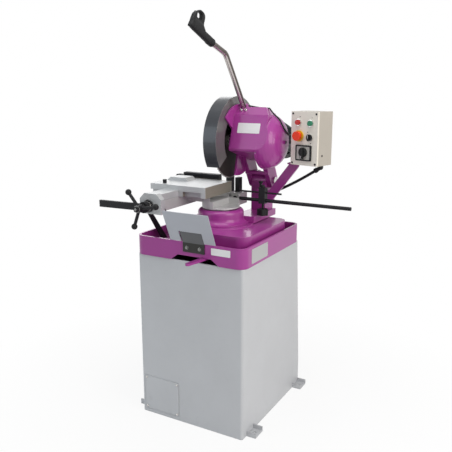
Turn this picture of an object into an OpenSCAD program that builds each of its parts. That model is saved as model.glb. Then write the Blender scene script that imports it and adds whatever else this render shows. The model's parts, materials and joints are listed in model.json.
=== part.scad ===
// Pedestal cold saw: sheet-steel stand, chip tray, mitre turntable, swinging saw head and screw vise.
// Lengths are in millimetres. X points to the operator's right, Y to the back and Z up.

/* [Stand] */
// Width of the cabinet
stand_w = 525; // [490:5:540]
// Depth of the cabinet at its top
stand_d = 555; // [530:5:600]
// Height of the cabinet
stand_h = 763; // [650:1:850]
// How far the back flares out at the floor
stand_flare = 65; // [30:1:100]
// Thickness of the cabinet sheet
sheet = 3; // [2:0.5:5]
// Bend radius of the cabinet corners
fold_r = 12; // [8:1:20]
// Width of the access panel
panel_w = 185; // [120:1:200]
// Height of the access panel
panel_h = 165; // [120:1:220]
// Length of a foot along the side
foot_l = 70; // [60:1:90]
// Reach of a foot out of the side
foot_out = 44; // [36:1:60]
// Height of the foot flanges
foot_h = 23; // [15:1:30]
// Plate thickness of a foot
foot_t = 6; // [4:0.5:8]
// Radius of the floor bolt holes
floor_hole_r = 7; // [5:0.5:9]

/* [Tray] */
// Width of the chip tray
tray_w = 540; // [530:1:560]
// Depth of the chip tray
tray_d = 570; // [560:1:600]
// Height of the chip tray
tray_h = 85; // [70:1:100]
// Wall of the chip tray
tray_wall = 10; // [6:1:14]
// Outer corner radius of the tray
tray_r = 42; // [30:1:60]
// Height of the pool floor above the tray's underside
pool_z = 40; // [30:1:46]
// Thickness of the pool floor
pool_t = 12; // [8:1:16]
// Width of the clearance in the front skirt
notch_w = 236; // [200:1:260]
// Height of the clearance in the front skirt
notch_h = 36; // [28:1:40]

/* [Turntable] */
// Height of the plinth under the turntable
plinth_h = 74; // [60:1:80]
// Radius of the machined seat on the plinth
flange_r = 150; // [140:1:160]
// Height of the machined seat
flange_h = 3; // [2:0.5:6]
// Radius of the turning ring
ring_r = 104; // [98:1:112]
// Height of the turning ring
ring_h = 65; // [50:1:66]
// Radius of the swivel post
post_r = 60; // [50:1:66]
// Height of the swivel post
post_h = 70; // [70:1:80]
// Width of the column between the fork arms
column_w = 72; // [66:1:80]
// Depth of the column
column_d = 85; // [75:1:90]
// Radius of the pivot pin
pivot_r = 12; // [10:0.5:16]
// Distance of the pivot behind the turntable's axis
pivot_y = 235; // [230:1:240]
// Height of the pivot above the table
pivot_up = 48; // [45:1:55]

/* [Vise] */
// Thickness of the vise bed
bed_h = 52; // [46:1:60]
// Radius of the bed's round seat
seat_r = 85; // [75:1:95]
// Width of the blade slot
slot_w = 16; // [12:0.5:18]
// Length of the moving jaw along the bar
jaw_w = 292; // [260:1:300]
// Depth of the moving jaw
jaw_d = 236; // [220:1:240]
// Height of the moving jaw
jaw_h = 50; // [40:1:60]
// Opening travel of the moving jaw
jaw_travel = 120; // [80:1:130]
// Height of the left fixed jaw
fixed_h = 73; // [60:1:80]
// Distance of the screw to the left of the blade
screw_x = 188; // [180:1:195]
// Radius of the vise screw
screw_r = 13; // [10:0.5:15]
// Radius from the hub to the centre of a ball
spoke_r = 85; // [70:1:95]
// Radius of a ball on the handwheel
ball_r = 13; // [10:0.5:16]
// Length of the clamp lever
clamp_l = 240; // [200:1:250]

/* [Head] */
// Tilt of the raised head
tilt = 18; // [14:1:20]
// Distance of the spindle in front of the pivot
spindle_back = 192; // [188:1:196]
// Height of the spindle above the pivot
spindle_up = 142; // [138:1:146]
// Radius of the saw blade
blade_r = 175; // [165:1:176]
// Thickness of the saw blade
blade_t = 3; // [2:0.25:4]
// Number of saw teeth
teeth = 80; // [60:4:120]
// Radius of the blade guard
guard_r = 195; // [188:1:200]
// Width of the blade guard
guard_w = 64; // [58:1:66]
// Width of the gearbox
gear_w = 168; // [160:1:172]
// Radius of the round gear housing
gear_r = 122; // [116:1:126]
// Bulge of the gearbox cover
cover_out = 82; // [70:1:88]
// Radius of the motor barrel
motor_r = 78; // [72:1:80]
// Length of the motor barrel
motor_l = 165; // [140:1:180]
// Radius of the lever tube
tube_r = 12; // [10:0.5:14]
// Thickness of the hand grip
grip_t = 24; // [20:1:28]

/* [Control box] */
// Width of the control box
box_w = 140; // [130:1:150]
// Depth of the control box
box_d = 105; // [90:1:120]
// Height of the control box
box_h = 228; // [210:1:240]
// Turn of the control box towards the operator
box_yaw = 15; // [5:1:20]
// Radius of a push button
button_r = 11; // [8:0.5:12]
// Radius of the emergency-stop mushroom
estop_r = 20; // [16:0.5:22]

/* [Bar stop] */
// Radius of the stop rod
rod_r = 8; // [6:0.5:9]
// Free length of the stop rod
rod_l = 526; // [400:1:560]
// Radius of the stop pin
pin_r = 4; // [3:0.5:5]
// Length of the stop pin
pin_l = 200; // [160:1:210]

/* [Hidden] */
$fn = 64;
// Overrun of every cut
cut = 1;
// Small running gap between moving faces
gap = 0.3;
// Radial running clearance of pins and shafts
run = 0.05;

// Levels of the base, from the floor up
tray_z = stand_h;
tray_top = tray_z + tray_h;
floor_z = tray_z + pool_z;
plinth_top = floor_z + plinth_h;
flange_top = plinth_top + flange_h;
bed_z = flange_top + post_h;
table_z = bed_z + bed_h;
pivot_z = table_z + pivot_up;

// Stand details
panel_t = 2.5;
panel_side = 18;
panel_lift = 20;
panel_screw_r = 4;
panel_screw_h = 2.5;
panel_screw_in = 10;
panel_x = -stand_w / 2 + panel_side;
foot_front = 40;
foot_rear = 12;
foot_hole_in = 22;
tank_w = 320;
tank_d = 300;
tank_h = 180;
tank_wall = 3;
pump_r = 45;
pump_side_share = 0.25;
pump_l = 190;
pump_flange_r = 62;
pump_flange_t = 8;

// Tray and plinth details
notch_x = 34;
plinth_left = 100;
plinth_w = 340;
plinth_d = 430;
plinth_r = 50;
plinth_core_r = 150;
plinth_wall = 16;
flange_edge = 1;

// Splash plate and its bracket, on the tray's front
bracket_w = 105;
bracket_t = 4;
bracket_drop = 42;
tongue_h = 62;
splash_w = 219;
splash_h = 146;
splash_t = 3;
splash_lean = 24;
splash_notch_w = 112;
splash_notch_h = 52;
splash_lift = 8;
clip_r = 8;
clip_t = 2;
clip_head_r = 6;
clip_head_h = 5;
clip_shares = [-0.3, 0.3];
clip_drop = 22;

// Turntable lock lever
lock_x = 84;
lock_y = 236;
lock_w = 26;
lock_t = 9;
lock_l = 142;
lock_tip_w = 20;
lock_turn = -9;
lock_pin_r = 8;
lock_pad_r = 20;

// Turntable details
ring_round = 16;
ring_flare = 22;
ring_foot = 6;
neck_w = 100;
neck_side = 12;
neck_front = 40;
neck_h = 30;
fork_t = 22;
fork_gap = 1;
fork_r = 36;
column_front = 50;
column_back = column_d - column_front;
column_boss_r = 45;
column_x = 60;
column_x1 = column_x + column_w;
pocket_wall = 13;
pocket_drop = 42;
pin_head = 8;
pin_head_r = 18;
spring_r = 21;
spring_wire = 5;
spring_turns = 6;
spring_rings = 8;
spring_sides = 6;
stop_lug_w = 26;
stop_lug_out = 36;
stop_lug_h = 20;
stop_lug_drop = 52;
stop_side = 58;
stop_bolt_r = 6;
stop_bolt_l = 62;
stop_bolt_low_share = 0.25;
stop_hex_r = 10.5;
stop_hex_h = 8;

// Vise bed details
rail_w = 80;
rail_front = 262;
rail_h = 46;
wing_front = 60;
wing_back = 150;
wing_h = 26;
wing_left = 300;
block_w = 47;
block_front = 60;
block_d = 90;
block_h = 56;
bridge_h = 24;
slot_front = 95;
slot_back = 108;
slot_deep = 18;
throat_r = 84;
seat_step = 46;
post_cap = 4;
strut_w = 26;
strut_t = 6;
strut_drop = 44;
strut_in = 12;
strut_slope = 52;
nut_w = 44;
nut_h = 34;
nut_l = 40;
nut_back = 150;

// Jaws
fixed_y = 116;
fixed_t = 30;
fixed_left = 276;
fixed_right = 79;
fixed_step_w = 43;
fixed_step_drop = 13;
groove_w = 4;
groove_deep = 2;
groove_count = 8;
guide_h = 67;
guide_left = 38;
guide_in = 10;
guide_right = 31;
lip_h = 10;
lip_t = 6;
jaw_open = 2;
jaw_y = fixed_y - jaw_open;
jaw_right = slot_w / 2;
jaw_left = jaw_right + jaw_w;
jaw_strip = 26;
jaw_recess = 18;
jaw_rib = 24;
jaw_plate_t = 12;
hump_w = 116;
hump_d = 70;
hump_h = 15;
hump_x = 232;
hump_y = 34;
hump_taper = 18;
arm_w = 78;
arm_h = 29;
arm_front = 264;
house_w = 110;
house_l = 28;
house_h = 88;
house_drop = 33;
house_cut = 24;
house_x = 178;
bore_r = 28;
bore_deep = 12;
screw_drop = 18;
screw_z = table_z - screw_drop;
carriage_gap = 0.4;
lockbolt_r = 9;
lockbolt_h = 16;
lockbolt_x = 246;
lockbolt_y = 86;

// Handwheel and clamp lever
hub_r = 16;
hub_l = 34;
hub_y = 355;
hub_nut_r = 12;
hub_nut_h = 10;
spoke_rod_r = 7;
spoke_start = 10;
spoke_count = 3;
screw_back = 110;
clamp_y = 322;
clamp_h = 30;
clamp_t = 12;
clamp_hub_r = 24;
clamp_hub_t = 16;
clamp_root = 16;
clamp_rise = -1;

// Head: gear housing profile, in the head's own frame with the pivot at its origin
house_front = 83;
house_low = 32;
house_high = 96;
house_top = 142;
house_top_in = 42;
house_bottom = 66;
house_back = 60;
gear_back = 22;
gear_rise = 5;
dome_in = 36;
gear_gap = 8;
gear_wall = 10;
rear_flange_t = 10;
rim_out = 2;
gear_x0 = guard_w / 2 + gear_gap;
gear_x1 = gear_x0 + gear_w;
dome_x = gear_x1 - dome_in;
gear_axis = [-spindle_back + gear_back, spindle_up + gear_rise];
house_v0 = -spindle_back - house_front;
shield_r = 160;
shield_t = 6;
shield_seat = 2;
shield_open = 158;
shield_close = 275;
nose_r = 40;
fork_shares = [[0.8, 0.62], [0.4, 0.85]];
fork_tangents = [46, 235];
stop_web_r = 9;
stop_web_back = 70;
stop_web_up = 20;
lever_boss_r = 22;
lever_boss_l = 42;
cover_wall = 6;
cover_flat_share = 0.25;
plug_r = 9;
plug_h = 7;
plug_seat = 4;

// Spindle, worm wheel and worm
spindle_r = 20;
nose_shaft_r = 16;
inner_flange_t = 9;
inner_flange_r = 44;
outer_flange_t = 11;
outer_flange_r = 45;
arbor_head_r = 13;
arbor_head_h = 9;
wheel_r = 52;
wheel_t = 34;
worm_r = 17;
worm_l = 90;
worm_shaft_r = 11;
mesh_gap = 0.5;
worm_up = wheel_r + worm_r + mesh_gap;
wheel_x = gear_x0 + gear_w / 2;
tooth_h = 7;
tooth_lead_share = 0.25;

// Blade guard
guard_wall = 3;
guard_low = 232;
guard_high = 30;
guard_ring = 76;
guard_hub_r = 54;
guard_arm_w = 30;

// Motor
motor_front = 78;
motor_seat_r = 80;
motor_seat_l = 82;
motor_flange_r = 80;
motor_flange_t = 12;
fin_h = 6;
fin_t = 4;
fin_count = 24;
fan_l = 50;
fan_wall = 2.5;
vent_count = 10;
vent_r = 6;
vent_ring_share = 0.6;
term_w = 46;
term_l = 90;
term_h = 76;
term_back_share = 0.33;

// Lever and grip, in the head's own frame
lever_x = 62;
lever_base = [-236, 284];
lever_bend = [-462, 442];
lever_end = -620;
bend_r = 60;
bend_swell = 0.3;
grip_collar_r = 17;
grip_collar_l = 22;
grip_hole_w = 40;
grip_hole_h = 33;
loop_t = 12;
grip_edge_r = 8;
trigger_w = 8;
trigger_l = 20;
trigger_h = 12;
trigger_travel = 5;

// Control box details
box_x = 289;
box_y = 110;
box_up = 147;
box_z = table_z + box_up;
box_wall = 3;
lid_t = 10;
bezel_r = 15;
bezel_t = 4;
button_out = 7;
button_travel = 4;
stem_r = 6;
stem_l = 16;
collar_r = 24;
collar_t = 6;
estop_neck = 10;
estop_cap = 12;
estop_travel = 5;
knob_base_r = 14;
knob_base_h = 6;
knob_bar = 7;
knob_h = 14;
plate_w = 64;
plate_h = 66;
plate_t = 5;
switch_r = 21;
switch_h = 10;
switch_bar_l = 30;
switch_bar_w = 12;
switch_bar_h = 16;
button_shares = [[0.27, 0.8], [0.73, 0.79], [0.31, 0.55], [0.72, 0.53], [0.5, 0.25]];
strut_arm_w = 42;
strut_arm_t = 12;
strut_arm_y = 174;
strut_side = 9;
strut_low_drop = 27;
strut_high_drop = 11;
strut_low = [column_x1 + strut_arm_w / 2 + fork_gap, table_z - strut_low_drop];
strut_high = [box_x - strut_side, box_z - strut_high_drop];
strut_foot_w = 84;
strut_foot_d = 58;
strut_foot_t = 6;
gland_r = 11;
gland_l = 12;
gland_x_share = 0.78;
gland_y_share = 0.7;
nozzle_l = 36;
nozzle_r = 9;
lead_fall = 31;
lead_steps = 10;
lead_r = 6.5;
lead_sides = 10;
lead_side = 8;
lead_drop = 6;

// Bar stop details
rod_y = 78;
rod_drop = 20;
rod_z = table_z - rod_drop;
rod_in = 30;
stop_x = 158;
stop_w = 30;
stop_d = 30;
stop_low = 13;
stop_high = 57;
pin_up = 35;
pin_share = 0.55;
knob_r = 26;
knob_t = 28;
knob_neck = 26;
knob_stem_r = 5;
knob_lobe_r = 8;
knob_lobes = 5;
nut_r = 10;
nut_t = 12;

// Helpers

// A box between two corners
module span(low, high) {
    translate(low) cube(high - low);
}

// A cylinder along X from x0 to x1, through the origin of Y and Z
module x_round(x0, x1, r) {
    translate([x0, 0, 0]) rotate([0, 90, 0]) cylinder(h = x1 - x0, r = r);
}

// A cylinder along Y from y0 to y1
module y_round(y0, y1, r) {
    translate([0, y0, 0]) rotate([-90, 0, 0]) cylinder(h = y1 - y0, r = r);
}

// A flat YZ outline carried along X from x0 to x1
module x_plate(x0, x1) {
    translate([x0, 0, 0]) rotate([90, 0, 90]) linear_extrude(x1 - x0) children();
}

// A flat XZ outline carried along Y from y0 to y1
module y_plate(y0, y1) {
    translate([0, y1, 0]) rotate([90, 0, 0]) linear_extrude(y1 - y0) children();
}

// A rectangle with round corners, centred on the origin
module round_rect(w, d, r) {
    square([w - 2 * r, d], center = true);
    square([w, d - 2 * r], center = true);
    for (sx = [-1, 1], sy = [-1, 1])
        translate([sx * (w / 2 - r), sy * (d / 2 - r)]) circle(r);
}

// Points of a ring of the given sides round a path point, in the plane of two directions
function ring_at(p, u, v, r, sides) = [for (i = [0 : sides - 1])
    p + r * (cos(360 * i / sides) * u + sin(360 * i / sides) * v)];
function unit(a) = a / norm(a);
// Direction of a path at one of its points
function path_dir(pts, i) = unit(pts[min(i + 1, len(pts) - 1)] - pts[max(i - 1, 0)]);

// A closed tube swept along a path, with a fixed reference direction that no leg follows
module swept(pts, r, sides, ref) {
    n = len(pts);
    rings = [for (i = [0 : n - 1])
        let (t = path_dir(pts, i), u = unit(cross(t, ref)), v = cross(t, u))
            ring_at(pts[i], u, v, r, sides)];
    points = [for (ring = rings) each ring];
    side_faces = [for (i = [0 : n - 2], j = [0 : sides - 1])
        let (a = i * sides + j, b = i * sides + (j + 1) % sides, c = a + sides, d = b + sides)
        each [[a, c, b], [b, c, d]]];
    first = [for (j = [1 : sides - 2]) [0, j, j + 1]];
    base = (n - 1) * sides;
    last = [for (j = [1 : sides - 2]) [base, base + j + 1, base + j]];
    polyhedron(points, concat(side_faces, first, last));
}

// The head's own frame, with the pivot at its origin
module on_head() {
    translate([0, pivot_y, pivot_z]) rotate([-tilt, 0, 0]) children();
}

// The spindle's frame within the head
module on_spindle() {
    on_head() translate([0, -spindle_back, spindle_up]) children();
}

// The control box's own frame, from its lower left front corner
module on_box() {
    translate([box_x, box_y, box_z]) rotate([0, 0, -box_yaw]) children();
}

// Stand

module stand_outline(inset) {
    polygon([[-stand_d / 2 + inset, 0], [stand_d / 2 + stand_flare - inset, 0],
        [stand_d / 2 - inset, stand_h], [-stand_d / 2 + inset, stand_h]]);
}

module stand_body(inset, z0, z1) {
    plan_d = stand_d + stand_flare - 2 * inset;
    intersection() {
        x_plate(-stand_w / 2 + inset, stand_w / 2 - inset) stand_outline(inset);
        translate([0, stand_flare / 2, z0]) linear_extrude(z1 - z0)
            round_rect(stand_w - 2 * inset, plan_d, fold_r - inset);
    }
}

module stand() {
    color("gainsboro") difference() {
        stand_body(0, 0, stand_h);
        translate([0, 0, sheet]) stand_body(sheet, 0, stand_h);
    }
}

module access_panel() {
    color("gainsboro") span([panel_x, -stand_d / 2 - panel_t, panel_lift],
        [panel_x + panel_w, -stand_d / 2, panel_lift + panel_h]);
}

module panel_screws() {
    color("silver")
    for (x = [panel_screw_in, panel_w - panel_screw_in], z = [panel_screw_in, panel_h - panel_screw_in])
        translate([panel_x + x, 0, panel_lift + z])
            y_round(-stand_d / 2 - panel_t - panel_screw_h, -stand_d / 2 - panel_t, panel_screw_r);
}

// One foot on the right-hand side: a drilled plate with two upturned flanges
module foot() {
    difference() {
        union() {
            span([stand_w / 2, 0, 0], [stand_w / 2 + foot_out, foot_l, foot_t]);
            for (y = [0, foot_l - foot_t])
                span([stand_w / 2, y, 0], [stand_w / 2 + foot_out, y + foot_t, foot_h]);
        }
        translate([stand_w / 2 + foot_hole_in, foot_l / 2, -cut])
            cylinder(h = foot_t + 2 * cut, r = floor_hole_r);
    }
}

module feet() {
    color("gainsboro")
    for (side = [0, 1], y = [-stand_d / 2 + foot_front, stand_d / 2 + stand_flare - foot_rear - foot_l])
        mirror([side, 0, 0]) translate([0, y, 0]) foot();
}

module coolant_tank() {
    color("dimgray") translate([0, 0, sheet]) difference() {
        span([-tank_w / 2, -tank_d / 2, 0], [tank_w / 2, tank_d / 2, tank_h]);
        span([-tank_w / 2 + tank_wall, -tank_d / 2 + tank_wall, tank_wall],
            [tank_w / 2 - tank_wall, tank_d / 2 - tank_wall, tank_h + cut]);
    }
}

module coolant_pump() {
    color("darkslategray") translate([tank_w * pump_side_share, 0, sheet + tank_wall]) {
        cylinder(h = tank_h, r = pump_r);
        translate([0, 0, tank_h - tank_wall]) cylinder(h = pump_flange_t, r = pump_flange_r);
        translate([0, 0, tank_h]) cylinder(h = pump_l, r = pump_r);
    }
}

// Tray and plinth

module tray() {
    color("mediumorchid") difference() {
        translate([0, 0, tray_z]) linear_extrude(tray_h) round_rect(tray_w, tray_d, tray_r);
        translate([0, 0, floor_z]) linear_extrude(tray_h)
            round_rect(tray_w - 2 * tray_wall, tray_d - 2 * tray_wall, tray_r - tray_wall);
        translate([0, 0, tray_z - cut]) linear_extrude(pool_z - pool_t + cut)
            round_rect(tray_w - 2 * tray_wall, tray_d - 2 * tray_wall, tray_r - tray_wall);
        translate([notch_x, 0, tray_z]) y_plate(-tray_d / 2 - cut, -tray_d / 2 + tray_wall + cut)
            polygon([[-notch_w / 2 - cut, -cut], [notch_w / 2 + cut, -cut],
                [notch_w / 2 - notch_h, notch_h - tray_wall],
                [-notch_w / 2 + notch_h, notch_h - tray_wall]]);
    }
}

// The plinth's block and round core, drawn in by an inset
module plinth_body(inset, h) {
    translate([plinth_w / 2 - plinth_left, 0, floor_z]) linear_extrude(h)
        round_rect(plinth_w - 2 * inset, plinth_d - 2 * inset, plinth_r - inset);
    translate([0, 0, floor_z]) cylinder(h = h, r = plinth_core_r - inset);
}

module pedestal() {
    color("mediumorchid") difference() {
        union() {
            plinth_body(0, plinth_h);
            translate([0, 0, plinth_top]) rotate_extrude() polygon([[0, 0], [flange_r, 0],
                [flange_r, flange_h - flange_edge], [flange_r - flange_edge, flange_h], [0, flange_h]]);
        }
        translate([0, 0, -cut]) plinth_body(plinth_wall, plinth_h - plinth_wall + cut);
    }
}

module swivel_post() {
    color("silver") translate([0, 0, flange_top]) cylinder(h = post_h, r = post_r);
}

// Splash plate on the tray's front

module plate_bracket() {
    front = tray_d / 2;
    color([0.12, 0.12, 0.13]) {
        span([notch_x - bracket_w / 2, -front - bracket_t, tray_top - bracket_drop],
            [notch_x + bracket_w / 2, -front, tray_top]);
        translate([notch_x - bracket_w / 2, -front, tray_top]) rotate([splash_lean, 0, 0])
            translate([0, -bracket_t, 0]) cube([bracket_w, bracket_t, tongue_h]);
    }
}

module splash_plate() {
    color([0.7, 0.72, 0.75]) translate([notch_x, -tray_d / 2, tray_top]) rotate([splash_lean, 0, 0])
        translate([0, -bracket_t - splash_t, splash_lift]) difference() {
            span([-splash_w / 2, 0, 0], [splash_w / 2, splash_t, splash_h]);
            span([-splash_notch_w / 2, -cut, -cut], [splash_notch_w / 2, splash_t + cut, splash_notch_h]);
        }
}

// Two clip bolts with washers on the bracket's face
module plate_clips() {
    face = -tray_d / 2 - bracket_t;
    color("silver")
    for (share = clip_shares)
        translate([notch_x + share * bracket_w, 0, tray_top - clip_drop]) {
            y_round(face - clip_t, face, clip_r);
            y_round(face - clip_t - clip_head_h, face, clip_head_r);
        }
}

// Lock lever under the tray's front skirt
module lock_lever() {
    low = tray_z + notch_h - tray_wall - lock_t - 2 * gap;
    color("mediumorchid") translate([lock_x, -lock_y, low]) rotate([0, 0, lock_turn]) {
        cylinder(h = lock_t, r = lock_pad_r);
        cylinder(h = floor_z - pool_t - low - gap, r = lock_pin_r);
        linear_extrude(lock_t) {
            polygon([[-lock_w / 2, 0], [-lock_tip_w / 2, -lock_l],
                [lock_tip_w / 2, -lock_l], [lock_w / 2, 0]]);
            translate([0, -lock_l]) circle(lock_tip_w / 2);
        }
    }
}

// Vise bed and fixed jaws

module vise_bed() {
    color([0.78, 0.79, 0.8]) difference() {
        union() {
            translate([0, 0, bed_z]) cylinder(h = bed_h, r = seat_r);
            span([-screw_x - rail_w / 2, -rail_front, table_z - rail_h],
                [-screw_x + rail_w / 2, wing_back, table_z]);
            span([-wing_left, -wing_front, table_z - wing_h], [-slot_w / 2, wing_back, table_z]);
            span([slot_w / 2, block_front, table_z - block_h + post_cap],
                [slot_w / 2 + block_w, block_front + block_d, table_z]);
            span([-seat_r, block_front, table_z - bed_h],
                [slot_w / 2 + block_w, block_front + block_d, table_z - bridge_h]);
        }
        span([-slot_w / 2, -slot_front, table_z - slot_deep],
            [slot_w / 2, wing_back + cut, table_z + cut]);
        translate([0, 0, table_z - slot_deep]) cylinder(h = slot_deep + cut, r = throat_r);
        span([slot_w / 2, -seat_r - cut, table_z - seat_step], [seat_r + cut, block_front, table_z + cut]);
        translate([slot_w / 2 + block_w - rod_in, rod_y, rod_z]) x_round(0, rod_in + cut, rod_r);
        span([-screw_x - nut_w / 2, -nut_back, table_z - rail_h - cut],
            [-screw_x + nut_w / 2, -nut_back + nut_l, table_z - rail_h + nut_h]);
        translate([-screw_x, 0, screw_z]) y_round(-rail_front - cut, -screw_back + cut, screw_r + 2 * gap);
    }
}

module vise_nut() {
    color("goldenrod") difference() {
        span([-screw_x - nut_w / 2, -nut_back, table_z - rail_h],
            [-screw_x + nut_w / 2, -nut_back + nut_l, table_z - rail_h + nut_h]);
        translate([-screw_x, 0, screw_z]) y_round(-nut_back - cut, -nut_back + nut_l + cut, screw_r + run);
    }
}

// Left fixed jaw: lipped face with grooves, and a lower step at its outer end
module fixed_jaw_left() {
    face_w = fixed_left - fixed_right;
    color([0.12, 0.12, 0.13]) difference() {
        union() {
            span([-fixed_left, fixed_y, table_z], [-fixed_right, fixed_y + fixed_t, table_z + fixed_h]);
            span([-fixed_left - fixed_step_w, fixed_y, table_z],
                [-fixed_left, fixed_y + fixed_t, table_z + fixed_h - fixed_step_drop]);
        }
        span([-fixed_left - cut, fixed_y - cut, table_z + fixed_h - lip_h - lip_t],
            [-fixed_right + cut, fixed_y + lip_t, table_z + fixed_h - lip_h]);
        for (i = [1 : groove_count])
            translate([-fixed_left + face_w * i / (groove_count + 1), fixed_y, table_z])
                span([-groove_w / 2, -cut, -cut], [groove_w / 2, groove_deep, fixed_h - lip_h - lip_t]);
    }
}

// The two narrow fixed jaws beside the blade
module fixed_jaw_right() {
    color([0.12, 0.12, 0.13]) {
        span([-guide_left, fixed_y, table_z], [-guide_in, fixed_y + fixed_t, table_z + guide_h]);
        span([guide_in, fixed_y, table_z], [guide_right, fixed_y + fixed_t, table_z + guide_h]);
    }
}

// Two flat bars from the rail's front end down to the pool floor
module vise_struts() {
    top = table_z - strut_drop;
    drop = top - floor_z;
    back = drop * tan(90 - strut_slope);
    y0 = -rail_front + strut_in;
    color([0.12, 0.12, 0.13]) difference() {
        for (x = [-screw_x - rail_w / 2 - strut_t, -screw_x + rail_w / 2])
            x_plate(x, x + strut_t) polygon([[y0 - strut_w / 2, top + strut_w / 2],
                [y0 + strut_w / 2, top + strut_w / 2], [y0 + strut_w + back, floor_z],
                [y0 - strut_w / 2 + back, floor_z]]);
        translate([0, 0, -cut]) plinth_body(-gap, plinth_h + cut);
    }
}

// Moving jaw with its arm and screw housing
module moving_jaw() {
    low = table_z + carriage_gap;
    top = table_z + jaw_h;
    front = jaw_y - jaw_d;
    color([0.78, 0.77, 0.73]) difference() {
        union() {
            span([-jaw_left, front, low], [-jaw_right, jaw_y - jaw_plate_t, top]);
            span([-screw_x - arm_w / 2, -arm_front, low], [-screw_x + arm_w / 2, front, low + arm_h]);
            y_plate(-arm_front - house_l, -arm_front) housing_face();
            translate([-hump_x, hump_y, top]) y_plate(-hump_d / 2, hump_d / 2) polygon([[-hump_w / 2, 0],
                [hump_w / 2, 0], [hump_w / 2 - hump_taper, hump_h], [-hump_w / 2 + hump_taper, hump_h]]);
        }
        span([-screw_x + arm_w / 2 + jaw_rib, front - cut, low - cut],
            [-jaw_right - jaw_rib, front + jaw_recess, top - jaw_strip]);
        span([-jaw_left - cut, front - cut, low - cut],
            [-screw_x - arm_w / 2 - jaw_rib, front + jaw_recess, top - jaw_strip]);
        translate([-screw_x, 0, screw_z])
            y_round(-arm_front - house_l - cut, -arm_front + cut, screw_r + run);
        translate([-screw_x, 0, screw_z])
            y_round(-arm_front - house_l - cut, -arm_front - house_l + bore_deep, bore_r);
    }
}

// Face of the screw housing, with cut upper corners
module housing_face() {
    low = screw_z - house_drop;
    high = low + house_h;
    polygon([[-house_x - house_w / 2, low], [-house_x + house_w / 2, low],
        [-house_x + house_w / 2, high - house_cut],
        [-house_x + house_w / 2 - house_cut, high], [-house_x - house_w / 2 + house_cut, high],
        [-house_x - house_w / 2, high - house_cut]]);
}

module jaw_plate() {
    color([0.62, 0.6, 0.56]) span([-jaw_left, jaw_y - jaw_plate_t, table_z + carriage_gap],
        [-jaw_right, jaw_y, table_z + jaw_h]);
}

module jaw_lock_bolt() {
    color([0.12, 0.12, 0.13]) translate([-lockbolt_x, -lockbolt_y, table_z + jaw_h])
        cylinder(h = lockbolt_h, r = lockbolt_r);
}

// Handwheel on the vise screw

module vise_screw() {
    color("silver") translate([-screw_x, 0, screw_z]) {
        y_round(-hub_y + hub_l / 2, -screw_back, screw_r);
        y_round(-arm_front - house_l - gap - bore_deep, -arm_front - house_l - gap, hub_r + screw_r / 2);
    }
}

module handwheel() {
    color([0.16, 0.16, 0.17]) translate([-screw_x, -hub_y, screw_z]) {
        y_round(-hub_l / 2, hub_l / 2, hub_r);
        rotate([90, 0, 0]) translate([0, 0, hub_l / 2]) cylinder(h = hub_nut_h, r = hub_nut_r, $fn = 6);
        for (i = [0 : spoke_count - 1])
            rotate([0, -spoke_start - i * 360 / spoke_count, 0])
                x_round(hub_r / 2, spoke_r - ball_r / 2, spoke_rod_r);
    }
}

module handwheel_balls() {
    color([0.08, 0.08, 0.08]) translate([-screw_x, -hub_y, screw_z])
        for (i = [0 : spoke_count - 1])
            rotate([0, -spoke_start - i * 360 / spoke_count, 0]) difference() {
                translate([spoke_r, 0, 0]) sphere(ball_r);
                x_round(0, spoke_r - ball_r / 2, spoke_rod_r);
            }
}

// Flat hand lever behind the handwheel
module clamp_lever() {
    color([0.1, 0.1, 0.1]) translate([-screw_x, -clamp_y, screw_z]) difference() {
        union() {
            y_round(-clamp_hub_t / 2, clamp_hub_t / 2, clamp_hub_r);
            rotate([0, clamp_rise, 0])
                span([-clamp_l, -clamp_t / 2, -clamp_h / 2], [-clamp_root, clamp_t / 2, clamp_h / 2]);
        }
        y_round(-clamp_hub_t, clamp_hub_t, screw_r + run);
    }
}

// Bar stop

module stop_rod() {
    color([0.14, 0.14, 0.15]) translate([slot_w / 2 + block_w, rod_y, rod_z]) x_round(-rod_in, rod_l, rod_r);
}

module stop_block() {
    color([0.2, 0.19, 0.18]) difference() {
        span([stop_x, rod_y - stop_d / 2, rod_z - stop_low],
            [stop_x + stop_w, rod_y + stop_d / 2, rod_z + stop_high]);
        translate([stop_x, rod_y, rod_z]) x_round(-cut, stop_w + cut, rod_r + run);
        translate([stop_x, rod_y, rod_z + pin_up]) x_round(-cut, stop_w + cut, pin_r + run);
        translate([stop_x + stop_w / 2, rod_y, rod_z - stop_low - cut])
            cylinder(h = stop_low + cut, r = knob_stem_r + run);
    }
}

module stop_knob() {
    color([0.08, 0.08, 0.08]) translate([stop_x + stop_w / 2, rod_y, rod_z - stop_low - gap]) {
        translate([0, 0, -knob_neck - knob_t]) linear_extrude(knob_t) {
            circle(knob_r - knob_lobe_r / 2);
            for (i = [0 : knob_lobes - 1])
                rotate(i * 360 / knob_lobes) translate([knob_r - knob_lobe_r, 0]) circle(knob_lobe_r);
        }
        translate([0, 0, -knob_neck - gap])
            cylinder(h = knob_neck + gap + stop_low - rod_r, r = knob_stem_r);
    }
}

module stop_pin() {
    color([0.2, 0.2, 0.2]) translate([stop_x + stop_w / 2, rod_y, rod_z + pin_up]) 
        x_round(-pin_l * pin_share, pin_l * (1 - pin_share), pin_r);
}

module pin_knob() {
    color([0.1, 0.1, 0.1]) translate([stop_x + stop_w / 2, rod_y, rod_z + stop_high + gap])
        cylinder(h = nut_t, r = nut_r, $fn = 6);
}

// Turntable

module column_outline() {
    translate([pivot_y, pivot_z]) circle(column_boss_r);
    translate([pivot_y - column_front, flange_top + gap])
        square([column_d, pivot_z - flange_top - gap]);
}

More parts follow.
